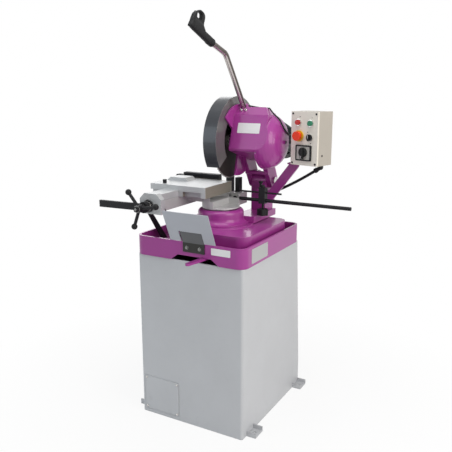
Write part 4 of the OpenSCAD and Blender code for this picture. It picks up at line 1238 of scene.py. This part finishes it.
@dataclass
class ControlBox:
    """Control box with its buttons, switch and lead; places on the lid are shares of its size."""

    shop: Workshop
    corner: Point = (0.289, 0.110, 1.149)
    yaw: float = math.radians(15.0)
    width: float = 0.140
    height: float = 0.228
    lid_screw: Pair = (4.2 * MM, 2.2 * MM)
    lid_screw_inset: float = 9.0 * MM
    side_plug: tuple[Pair, ...] = ((4.6, 0.0), (4.6, 0.5), (3.9, 1.1), (1.2, 1.3))
    side_plug_at: Pair = (-0.036, 0.043)
    side_plug_sides: int = 28
    selector_at: Pair = (0.72, 0.53)
    selector_line: Point = (1.8 * MM, 14.0 * MM, 0.6 * MM)
    selector_line_thick: float = 0.4 * MM
    selector_line_rise: float = 4.5 * MM
    selector_line_out: float = 18.0 * MM
    switch_plate: Pair = (0.082, 0.067)
    switch_plate_at: Pair = (0.5, 0.236)
    switch_plate_thick: float = 5.0 * MM
    switch_plate_edge: float = 0.5 * MM
    switch_outlines: tuple[Point, ...] = (
        (0.0, 0.0, 5.0 * MM), (2.0 * MM, 2.0 * MM, 4.0 * MM), (13.0 * MM, 11.0 * MM, 3.0 * MM))
    knob_at: Pair = (0.5, 0.25)
    knob_out: float = 5.3 * MM
    knob_base: tuple[Pair, ...] = ((21.0, 0.0), (21.0, 5.0), (19.4, 7.2), (4.0, 7.6))
    knob_bar: Point = (12.0 * MM, 50.0 * MM, 5.0 * MM)
    knob_bar_drop: float = 4.6 * MM
    knob_bar_steps: tuple[Pair, ...] = ((4.0, 1.0), (13.5, 0.94), (15.6, 0.86), (16.2, 0.7))
    knob_line: Point = (1.6 * MM, 11.0 * MM, 0.6 * MM)
    knob_line_at: Point = (0.0, -20.0 * MM, 16.1 * MM)
    ring_mark: tuple[Pair, ...] = ((2.6, 0.0), (2.6, 0.3), (1.7, 0.3), (1.7, 0.0))
    ring_mark_at: Pair = (0.33, 0.905)
    ring_mark_sides: int = 24
    bar_mark: Point = (1.2 * MM, 5.4 * MM, 0.4 * MM)
    bar_mark_at: Pair = (0.78, 0.895)
    dot_mark: Point = (4.2 * MM, 4.2 * MM, 2.0 * MM)
    dots_at: tuple[Pair, ...] = ((0.63, 0.625), (0.75, 0.42))
    mark_thick: float = 0.3 * MM
    mark_edge: float = 0.1 * MM
    gland: Point = (0.1092, -0.0735, -0.012)
    nut: tuple[Pair, ...] = ((9.4, 13.0), (10.4, 12.4), (10.4, 2.2), (9.2, 0.6))
    nut_rib: float = 0.55 * MM
    nut_ribs: int = 18
    nozzle: float = 0.036
    nozzle_gap: float = 0.3 * MM
    lead_radius: float = 6.5 * MM
    lead_fall: float = math.radians(31.0)
    lead_end: Point = (0.132, 0.227, 0.996)
    lead_steps: int = 10
    lead_approach: Point = (0.040, -0.005, 0.008)
    lead_tail: tuple[Point, ...] = ((0.025, -0.0015, 0.0025), (0.012, 0.0, 0.0), (0.0, 0.0, 0.0))

    def at(self, across: float, out: float, up: float) -> Vector:
        """A place on the box in the shared frame.

        Args:
            across: from the left edge.
            out: out of the lid's face.
            up: from the lower edge.

        Returns:
            The point.
        """
        c, s = math.cos(self.yaw), math.sin(self.yaw)
        return Vector(self.corner) + Vector((across * c - out * s, -across * s - out * c, up))

    def on_lid(self, shares: Pair, out: float = 0.0, rise: float = 0.0) -> Matrix:
        """Frame on the lid, Z outwards.

        Args:
            shares: place as shares of the lid's width and height.
            out: distance out of its face.
            rise: distance further up.

        Returns:
            The placing matrix.
        """
        outward = Vector((-math.sin(self.yaw), -math.cos(self.yaw), 0.0))
        return Forms.facing(self.at(shares[0] * self.width, out, shares[1] * self.height + rise), outward)

    def build(self) -> None:
        """Dresses the box and adds screws, switch, marks and gland nut."""
        shop = self.shop
        shop.dress(BOX_SHADED_GREY, "control_box")
        shop.dress(LID_GREY, "control_lid")
        shop.dress(BRIGHT, "button_bezels")
        shop.dress(YELLOW, "estop_collar")
        shop.dress(SWITCH_GREY, "switch_plate")
        shop.dress(BLACK_PLASTIC, "selector_knob", "main_switch", "box_gland")
        shop.dress(SHEATH, "box_lead")
        shop.dress(RED, "stop_button")
        shop.dress(GREEN, "start_button")
        shop.dress(ORANGE_RED, "estop_button")
        self.screws()
        self.frame()
        self.switch()
        self.marks()
        self.pointers()
        self.gland_nut()

    def lead_route(self) -> list[Vector]:
        """Route of the lead, from the gland's nozzle to the column.

        Returns:
            The points, in the shared frame.
        """
        elbow = self.at(*self.gland)
        end = Vector(self.lead_end)
        way = end + Vector(self.lead_approach) - elbow
        across = math.hypot(way.x, way.y)
        heading = Vector((way.x, way.y, 0.0)) / across
        fall = math.tan(self.lead_fall)
        bend = (fall * across + way.z) / (across - self.nozzle) ** 2
        reaches = [(self.nozzle + self.nozzle_gap) * math.cos(self.lead_fall)]
        for step in range(1, self.lead_steps + 1):
            reaches.append(self.nozzle + (across - self.nozzle) * step / self.lead_steps)
        route = []
        for reach in reaches:
            up = bend * max(0.0, reach - self.nozzle) ** 2 - reach * fall
            route.append(elbow + heading * reach + Vector((0, 0, up)))
        return route + [end + Vector(offset) for offset in self.lead_tail]

    def lay_lead(self) -> None:
        """Lays the lead from the gland to the column."""
        lead = Cable("box_lead_sheath", "box_lead", "table", self.lead_radius, Bend.STIFF)
        lead.lay(self.lead_route())

    def gland_nut(self) -> None:
        """Puts the ribbed clamping nut on the end of the gland's nozzle."""
        mouth = self.lead_route()[0]
        outward = (mouth - self.at(*self.gland)).normalized()
        loops = []
        for root, back in self.nut:
            place = Forms.facing(mouth - outward * back * MM, outward)
            loops.append(Forms.ribbed(place, root * MM, self.nut_rib, self.nut_ribs))
        mesh = bmesh.new()
        Forms.shells(mesh, loops, True)
        self.shop.add("gland_clamp_nut", mesh, BLACK_PLASTIC, "table")

    def pointers(self) -> None:
        """Puts a white line on the selector and a dark plug low on the box's right side."""
        mesh = bmesh.new()
        top = self.on_lid(self.selector_at, self.selector_line_out, self.selector_line_rise)
        outline = Forms.rounded(*self.selector_line, 2)
        Forms.plate(mesh, outline, self.selector_line_thick, self.mark_edge, top)
        self.shop.add("selector_line", mesh, MARK_WHITE, "selector")
        mesh = bmesh.new()
        sideways = Vector((math.cos(self.yaw), -math.sin(self.yaw), 0.0))
        seat = Forms.facing(self.at(self.width, *self.side_plug_at), sideways)
        Forms.turned(mesh, self.side_plug, seat, self.side_plug_sides)
        self.shop.add("box_side_plug", mesh, BLACK_PLASTIC, "table")

    def screws(self) -> None:
        """Puts a screw in each corner of the lid."""
        mesh = bmesh.new()
        across, up = self.lid_screw_inset / self.width, self.lid_screw_inset / self.height
        for x in (across, 1 - across):
            for y in (up, 1 - up):
                Forms.screw(mesh, self.on_lid((x, y)), self.lid_screw, ScrewHead.SOCKET)
        self.shop.add("lid_screw_heads", mesh, BLACK_STEEL, "table")

    def frame(self) -> None:
        """Models the main switch's plate and the dark frame round it."""
        place = self.on_lid(self.switch_plate_at)
        wide, tall = self.switch_plate
        outer, edge, inner = (Forms.rounded(wide - less_wide, tall - less_tall, corner)
                              for less_wide, less_tall, corner in self.switch_outlines)
        mesh = bmesh.new()
        Forms.plate(mesh, edge, self.switch_plate_thick, self.switch_plate_edge, place)
        plate = self.shop.add("switch_surround", mesh, SWITCH_GREY, "table")
        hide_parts("switch_plate")
        steps = ((outer, 0.1), (outer, 5.4), (edge, 6.4), (inner, 6.2), (inner, 4.6), (edge, 0.1))
        mesh = bmesh.new()
        Forms.shells(mesh, [Forms.lifted(place, outline, high * MM) for outline, high in steps], False)
        self.shop.add("switch_frame", mesh, BLACK_PLASTIC, "table")

    def switch(self) -> None:
        """Models the main switch: a round base and a bar with rounded ends."""
        place = self.on_lid(self.knob_at, self.knob_out)
        lower = place @ Matrix.Translation((0.0, -self.knob_bar_drop, 0.0))
        wide, tall, corner = self.knob_bar
        mesh = bmesh.new()
        Forms.turned(mesh, self.knob_base, place)
        loops = []
        for high, share in self.knob_bar_steps:
            outline = Forms.rounded(wide * share, tall * (0.5 + 0.5 * share), corner * share)
            loops.append(Forms.lifted(lower, outline, high * MM))
        Forms.shells(mesh, loops, True)
        piece = self.shop.add("switch_knob", mesh, BLACK_PLASTIC, "mains")
        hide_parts("main_switch")
        mesh = bmesh.new()
        tip = place @ Matrix.Translation(self.knob_line_at)
        Forms.plate(mesh, Forms.rounded(*self.knob_line, 2), self.mark_thick, self.mark_edge, tip)
        self.shop.add("switch_line", mesh, MARK_WHITE, "mains")

    def marks(self) -> None:
        """Puts plain marks on the lid: a ring, a bar and two dots."""
        mesh = bmesh.new()
        ring = self.on_lid(self.ring_mark_at)
        Forms.turned(mesh, self.ring_mark, ring, self.ring_mark_sides, capped=False)
        flat = [(Forms.rounded(*self.bar_mark, 2), self.bar_mark_at)]
        flat += [(Forms.rounded(*self.dot_mark, 4), shares) for shares in self.dots_at]
        for outline, shares in flat:
            Forms.plate(mesh, outline, self.mark_thick, self.mark_edge, self.on_lid(shares))
        self.shop.add("button_marks", mesh, BLACK_PLASTIC, "table")


@dataclass(frozen=True)
class HeadFrame:
    """The saw head's own frame, which leans about the pivot at rest."""

    pivot: Point = (0.0, 0.235, 1.050)
    tilt: float = math.radians(18.0)

    def at(self, x: float, ahead: float, up: float) -> Vector:
        """A place in the head's own frame, put into the shared frame.

        Args:
            x: across the saw.
            ahead: along the head, negative to the front.
            up: above the pivot, square to the head.

        Returns:
            The point.
        """
        c, s = math.cos(self.tilt), math.sin(self.tilt)
        return Vector(self.pivot) + Vector((x, ahead * c + up * s, up * c - ahead * s))

    def towards(self, ahead: float, up: float) -> Vector:
        """A direction given in the head's own frame."""
        return self.at(0.0, ahead, up) - Vector(self.pivot)


@dataclass
class Grip:
    """Moulded grip; its lines are shares of its length and height, in the head's own frame."""

    shop: Workshop
    head: HeadFrame
    x: float = 0.062
    start: float = -0.575
    level: float = 0.442
    long: float = 0.166
    high: float = 0.102
    thick: float = 0.026
    squareness: float = 0.72
    palm_end: float = 1.035
    palm_stations: int = 26
    palm_sides: int = 28
    loop_thick: float = 0.019
    loop_edge: float = 4.5 * MM
    loop_sides: int = 72
    loop_softening: int = 4
    hole: Pair = (0.034, 0.029)
    hole_share: Pair = (0.755, 0.56)
    collar: tuple[Pair, ...] = ((15.0, 0.2), (17.0, 2.0), (17.0, 20.0), (14.0, 30.0))
    slot: Pair = (4.4 * MM, 10.5 * MM)
    slot_heights: Pair = (-12.5 * MM, 6.0 * MM)
    voxel: float = 1.2 * MM
    passes: int = 5
    under: tuple[Pair, ...] = (
        (0.0, -0.15), (0.2, -0.165), (0.27, -0.13), (0.553, -0.10), (0.8, -0.07), (1.04, -0.02))
    over: tuple[Pair, ...] = (
        (0.0, 0.15), (0.2, 0.185), (0.43, 0.20), (0.49, 0.28), (0.56, 0.40), (0.75, 0.41), (0.93, 0.41),
        (1.0, 0.28), (1.04, 0.06))
    rim: tuple[Pair, ...] = (
        (1.035, 0.1), (0.995, 0.29), (0.955, 0.55), (0.88, 0.66), (0.75, 0.80), (0.61, 0.79), (0.525, 0.71),
        (0.52, 0.53), (0.54, 0.40), (0.52, 0.25))

    @property
    def hole_at(self) -> float:
        """Centre of the finger hole along the head."""
        return self.start - self.hole_share[0] * self.long

    @property
    def hole_up(self) -> float:
        """Centre of the finger hole above the pivot."""
        return self.level + self.hole_share[1] * self.high

    def build(self) -> None:
        """Models the grip: a rounded palm, the loop round the trigger and the collar on the tube."""
        mesh = bmesh.new()
        Forms.shells(mesh, self.palm(), True)
        Forms.shells(mesh, self.loop(), False)
        seat = self.head.at(self.x, self.start, self.level)
        Forms.turned(mesh, self.collar, Forms.facing(seat, self.head.towards(-1, 0), self.head.towards(0, 1)))
        piece = self.shop.add("grip_handle", mesh, BLACK_PLASTIC, "head")
        Forms.fuse(piece, self.voxel, self.passes)
        Forms.cut(piece, self.trigger_slot())
        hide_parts("grip")

    def trigger_slot(self) -> bmesh.types.BMesh:
        """Makes the slot under the finger hole in which the trigger slides.

        Returns:
            The slot's closed mesh.
        """
        x, y = self.slot
        low = self.hole_up - self.hole[1] / 2
        loops = []
        for height in self.slot_heights:
            corners = ((-x, -y), (x, -y), (x, y), (-x, y))
            loops.append([self.head.at(self.x + across, self.hole_at + along, low + height)
                          for across, along in corners])
        mesh = bmesh.new()
        Forms.shells(mesh, loops, True)
        return mesh

    @staticmethod
    def between(line: Sequence[Pair], share: float) -> float:
        """Height of a line of points at a share of the length.

        Args:
            line: share and height pairs.
            share: where the height is wanted.

        Returns:
            The height, blended smoothly between the points.
        """
        for (s0, h0), (s1, h1) in zip(line, line[1:]):
            if share <= s1:
                t = max(0.0, (share - s0) / (s1 - s0))
                t = 0.5 * t + 0.5 * t * t * (3 - 2 * t)
                return h0 + (h1 - h0) * t
        return line[-1][1]

    def palm(self) -> list[list[Vector]]:
        """Loops of the palm's rounded body.

        Returns:
            One loop a station, from the tube to the tip.
        """
        loops = []
        for station in range(self.palm_stations + 1):
            share = self.palm_end * station / self.palm_stations
            low = self.between(self.under, share) * self.high
            high = self.between(self.over, share) * self.high
            full = min(1.0, 0.78 + 2.2 * share) * (1.0 if share < 0.97 else 0.8)
            loop = []
            for step in range(self.palm_sides):
                angle = 2 * math.pi * step / self.palm_sides
                c, s = math.cos(angle), math.sin(angle)
                across = math.copysign(abs(c) ** self.squareness, c) * self.thick / 2 * full
                tall = math.copysign(abs(s) ** self.squareness, s) * (high - low) / 2
                up = self.level + (high + low) / 2 + tall
                loop.append(self.head.at(self.x + across, self.start - share * self.long, up))
            loops.append(loop)
        return loops

    @staticmethod
    def crossing(outline: Sequence[Pair], angle: float) -> float:
        """Distance from the finger hole's centre to an outline round it.

        Args:
            outline: the outline's points about the centre.
            angle: direction of the distance.

        Returns:
            The farthest crossing.
        """
        c, s = math.cos(angle), math.sin(angle)
        farthest = 0.0
        for (x0, y0), (x1, y1) in zip(outline, [*outline[1:], outline[0]]):
            cross = c * (y1 - y0) - s * (x1 - x0)
            if abs(cross) < TINY:
                continue
            share = (x0 * s - y0 * c) / cross
            if -TINY <= share <= 1 + TINY:
                farthest = max(farthest, (x0 * (y1 - y0) - y0 * (x1 - x0)) / cross)
        return farthest

    def loop(self) -> list[list[Vector]]:
        """Loops of the ring round the finger hole.

        Returns:
            Loops round the ring's section, in order.
        """
        count = self.loop_sides
        angles = [2 * math.pi * step / count for step in range(count)]
        outline = [((a - self.hole_share[0]) * self.long, (b - self.hole_share[1]) * self.high)
                   for a, b in self.rim]
        outer = [self.crossing(outline, angle) for angle in angles]
        for _ in range(self.loop_softening):
            outer = [(outer[i - 1] + 2 * outer[i] + outer[(i + 1) % count]) / 4 for i in range(count)]
        wide, tall = self.hole[0] / 2, self.hole[1] / 2
        bore = [(abs(math.cos(a) / wide) ** 4 + abs(math.sin(a) / tall) ** 4) ** -0.25 for a in angles]
        half, edge = self.loop_thick / 2, self.loop_edge
        soft = 0.3 * edge
        section = (
            (outer, 0, -half + edge), (outer, 0, half - edge), (outer, -soft, half - soft),
            (outer, -edge, half), (bore, edge, half), (bore, soft, half - soft), (bore, 0, half - edge),
            (bore, 0, -half + edge), (bore, soft, -half + soft), (bore, edge, -half),
            (outer, -edge, -half), (outer, -soft, -half + soft))
        loops = []
        for reaches, grow, across in section:
            loop = []
            for angle, reach in zip(angles, reaches):
                ahead = self.hole_at - math.cos(angle) * (reach + grow)
                up = self.hole_up + math.sin(angle) * (reach + grow)
                loop.append(self.head.at(self.x + across, ahead, up))
            loops.append(loop)
        return loops


@dataclass
class SawHead:
    """Gear housing, motor, lever, grip, blade and guard, in the head's own frame."""

    shop: Workshop
    frame: HeadFrame = HeadFrame()
    spindle: Pair = (-0.192, 0.142)
    blade_tint: Colour = (0.055, 0.048, 0.042)
    plate_size: Point = (0.108, 0.045, 0.003)
    plate_at: Point = (0.1235, -0.275, 0.1775)
    plate_thick: float = 0.8 * MM
    plate_edge: float = 0.3 * MM
    clamp_bolt: Pair = (6.5 * MM, 7.5 * MM)
    clamp_bolts_x: Pair = (0.064, 0.086)
    clamp_bolts_at: Pair = (-0.2545, 0.2605)
    clamp_slope: Pair = (-0.046, 0.042)
    oil_cap: Pair = (7.0 * MM, 3.2 * MM)
    oil_cap_at: Point = (0.2590, -0.170, 0.147)
    clip_at: Point = (0.135, -0.210, 0.2876)
    clip_radius: float = 4.3 * MM
    clip_sides: int = 28
    clip_steps: tuple[Pair, ...] = ((-5.0, 0.9), (-4.4, 1.0), (4.4, 1.0), (5.0, 0.9))
    clip_foot: Pair = (1.25, 0.82)
    terminal_screw: Pair = (4.2 * MM, 2.6 * MM)
    terminal_lid_x: float = 0.248
    terminal_screws_ahead: Pair = (-0.0155, 0.0585)
    terminal_screws_up: Pair = (0.1815, 0.2415)
    cable_radius: float = 3.0 * MM
    cable: tuple[Point, ...] = (
        (84.2, -231, 289), (92, -231, 289), (106, -224, 288.2), (135, -210, 287.6), (165, -203, 288),
        (173.5, -203.5, 287.6), (181, -205, 281), (191, -208, 271.5), (201, -211, 262), (212.6, -213, 253.2),
        (223.4, -211, 246), (236, -208, 233.4), (248, -204, 214), (255.6, -185.5, 196.8),
        (256.6, -155.8, 191), (251.6, -121.5, 192), (243, -94, 199.5), (237, -70, 206), (232, -44, 212),
        (232, -23.9, 212))

    def build(self) -> None:
        """Dresses the head and adds its plate, bolts, clip and grip."""
        shop = self.shop
        centre = tuple(self.frame.at(0.0, *self.spindle))
        blade = BladeSteel("blade_steel", self.blade_tint, 0.4, metallic=0.8, centre=centre)
        shop.dress(PURPLE, "gearbox", "gear_cover")
        shop.dress(MOTOR_DARK, "motor")
        shop.dress(BLACK_PLASTIC, "fan_cover", "grip", "trigger")
        shop.dress(SHEATH, "trigger_cable")
        shop.dress(LEVER_STEEL, "lever_tube")
        shop.dress(BRIGHT, "spindle", "worm_shaft")
        shop.dress(BRONZE, "worm_wheel")
        shop.dress(blade, "blade")
        shop.dress(GUARD_GREY, "blade_guard")
        self.plate()
        self.clamp_bolts()
        self.oil_plug()
        self.cable_clip()
        self.terminal_screws()
        Grip(shop, self.frame).build()

    def plate(self) -> None:
        """Puts a blank plate on the housing's front face."""
        head = self.frame
        mesh = bmesh.new()
        place = Forms.facing(head.at(*self.plate_at), head.towards(-1, 0), head.towards(0, 1))
        Forms.plate(mesh, Forms.rounded(*self.plate_size), self.plate_thick, self.plate_edge, place)
        self.shop.add("housing_blank_plate", mesh, PLATE_WHITE, "head")

    def clamp_bolts(self) -> None:
        """Puts the two bolts that hold the lever on the housing's sloped edge."""
        mesh = bmesh.new()
        outward = self.frame.towards(*self.clamp_slope)
        for x in self.clamp_bolts_x:
            seat = Forms.facing(self.frame.at(x, *self.clamp_bolts_at), outward)
            Forms.screw(mesh, seat, self.clamp_bolt, ScrewHead.SOCKET)
        self.shop.add("lever_clamp_bolts", mesh, BRIGHT, "head")

    def oil_plug(self) -> None:
        """Puts a dark cap on the cover's oil plug."""
        mesh = bmesh.new()
        seat = Forms.facing(self.frame.at(*self.oil_cap_at), TO_RIGHT)
        Forms.screw(mesh, seat, self.oil_cap, ScrewHead.SOCKET)
        self.shop.add("oil_plug_cap", mesh, BLACK_STEEL, "head")

    def cable_clip(self) -> None:
        """Puts the small clip that holds the trigger cable on the housing's top."""
        x, ahead, up = self.clip_at
        wider, flatter = self.clip_foot
        loops = []
        for along, share in self.clip_steps:
            loop = []
            for step in range(self.clip_sides):
                angle = 2 * math.pi * step / self.clip_sides
                across = self.clip_radius * share * math.cos(angle)
                high = self.clip_radius * share * math.sin(angle)
                if high < 0:
                    across *= wider
                    high *= flatter
                loop.append(self.frame.at(x + along * MM, ahead + across, up + high))
            loops.append(loop)
        mesh = bmesh.new()
        Forms.shells(mesh, loops, True)
        self.shop.add("cable_clip", mesh, BRIGHT, "head")

    def terminal_screws(self) -> None:
        """Puts four screws on the lid of the motor's terminal box."""
        mesh = bmesh.new()
        for ahead in self.terminal_screws_ahead:
            for up in self.terminal_screws_up:
                seat = Forms.facing(self.frame.at(self.terminal_lid_x, ahead, up), TO_RIGHT)
                Forms.screw(mesh, seat, self.terminal_screw, ScrewHead.SOCKET)
        self.shop.add("terminal_box_screws", mesh, BRIGHT, "head")

    def lay_cable(self) -> None:
        """Lays the trigger cable from the lever's boss to the motor's terminal box."""
        route = [self.frame.at(x * MM, ahead * MM, up * MM) for x, ahead, up in self.cable]
        Cable("trigger_cable_sheath", "trigger_cable", "head", self.cable_radius, Bend.LIMP).lay(route)


@dataclass(frozen=True)
class Lamp:
    """A soft square lamp, with its power in watts."""

    name: str
    place: Point
    target: Point
    size: float
    power: float
    tint: Colour

    def hang(self) -> None:
        """Hangs the lamp and points it at its target."""
        data = bpy.data.lights.new(self.name, "AREA")
        data.size = self.size
        data.energy = self.power
        data.color = self.tint
        lamp = bpy.data.objects.new(self.name, data)
        bpy.context.scene.collection.objects.link(lamp)
        lamp.location = self.place
        lamp.rotation_mode = "QUATERNION"
        lamp.rotation_quaternion = (Vector(self.target) - Vector(self.place)).to_track_quat("-Z", "Y")


@dataclass
class Studio:
    """Floor, light and camera."""

    eye: Point = (1.3269, -2.3078, 1.4766)
    pitch: float = math.radians(13.05)
    yaw: float = math.radians(29.4)
    focal_pixels: float = 598.0
    frame_pixels: float = 452.0
    sensor: float = 36.0
    white: Colour = (1.0, 1.0, 1.0)
    floor_half: float = 30.0
    floor_tint: Colour = (0.86, 0.86, 0.86)
    floor_rough: float = 0.9
    floor_shadow: float = 0.12
    floor_shadow_to: Pair = (0.5, 1.4)
    sky_light: float = 0.24
    lamps: tuple[Lamp, ...] = (
        Lamp("key_right", (3.6, -0.9, 2.0), (0.0, 0.0, 0.8), 2.4, 82.0, (1.0, 0.965, 0.92)),
        Lamp("fill_left", (-2.6, -3.0, 2.2), (0.0, 0.0, 0.9), 2.6, 35.0, (0.82, 0.93, 1.0)),
        Lamp("back_soft", (-2.4, 2.8, 2.4), (0.0, 0.0, 0.9), 2.4, 26.0, (1.0, 1.0, 1.0)),
        Lamp("top_soft", (0.3, -0.6, 4.0), (0.0, 0.0, 0.9), 2.6, 62.0, (1.0, 1.0, 1.0)))

    def build(self) -> None:
        """Makes the studio."""
        bpy.context.scene.view_settings.view_transform = "Standard"
        self.camera()
        self.floor()
        self.world()
        for lamp in self.lamps:
            lamp.hang()

    def camera(self) -> None:
        """Puts the camera where the photograph was taken."""
        data = bpy.data.cameras.new("camera")
        data.lens = self.focal_pixels / self.frame_pixels * self.sensor
        data.sensor_width = self.sensor
        data.sensor_fit = "HORIZONTAL"
        camera = bpy.data.objects.new("camera", data)
        bpy.context.scene.collection.objects.link(camera)
        camera.location = self.eye
        level = math.cos(self.pitch)
        look = Vector((-math.sin(self.yaw) * level, math.cos(self.yaw) * level, -math.sin(self.pitch)))
        camera.rotation_mode = "QUATERNION"
        camera.rotation_quaternion = look.to_track_quat("-Z", "Y")
        bpy.context.scene.camera = camera

    def floor(self) -> None:
        """Makes the pale floor, which reads white to the camera but keeps the shadow."""
        mesh = bmesh.new()
        bmesh.ops.create_grid(mesh, x_segments=1, y_segments=1, size=self.floor_half)
        data = bpy.data.meshes.new("floor")
        mesh.to_mesh(data)
        mesh.free()
        floor = bpy.data.objects.new("floor", data)
        bpy.context.scene.collection.objects.link(floor)
        made = bpy.data.materials.new("floor_white")
        graph = Graph(made)
        pale = {"Base Color": self.floor_tint, "Roughness": self.floor_rough}
        matt = graph.node("ShaderNodeBsdfPrincipled", sockets=pale)
        glow = graph.node("ShaderNodeEmission", sockets={"Color": self.white, "Strength": 1.0})
        away = graph.node("ShaderNodeVectorMath", {"operation": "LENGTH"}, {0: graph.place()}, "Value")
        open_floor = away.above(*self.floor_shadow_to) * self.floor_shadow + (1.0 - self.floor_shadow)
        share = graph.looked_at() * open_floor
        graph.show(graph.node("ShaderNodeMixShader", sockets={0: share, 1: matt, 2: glow}))
        data.materials.append(made)

    def world(self) -> None:
        """Makes a white surround that lights the saw softly."""
        world = bpy.data.worlds.new("studio")
        bpy.context.scene.world = world
        graph = Graph(world, "ShaderNodeOutputWorld")
        strength = graph.looked_at() * (1.0 - self.sky_light) + self.sky_light
        graph.show(graph.node("ShaderNodeBackground", sockets={"Color": self.white, "Strength": strength}))


def main() -> None:
    """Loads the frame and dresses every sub-assembly."""
    logging.basicConfig(level=logging.INFO, format="%(message)s")
    shop = Workshop(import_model())
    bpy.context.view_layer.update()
    Studio().build()
    box = ControlBox(shop)
    head = SawHead(shop)
    box.lay_lead()
    head.lay_cable()
    for group in (Stand(shop), Vise(shop), BarStop(shop), Turntable(shop), box, head):
        group.build()
        LOG.info("finished %s", type(group).__name__)
    LOG.info("added %d pieces to the packed ones", len(shop.made))
    bpy.context.view_layer.update()


if __name__ == "__main__":
    main()
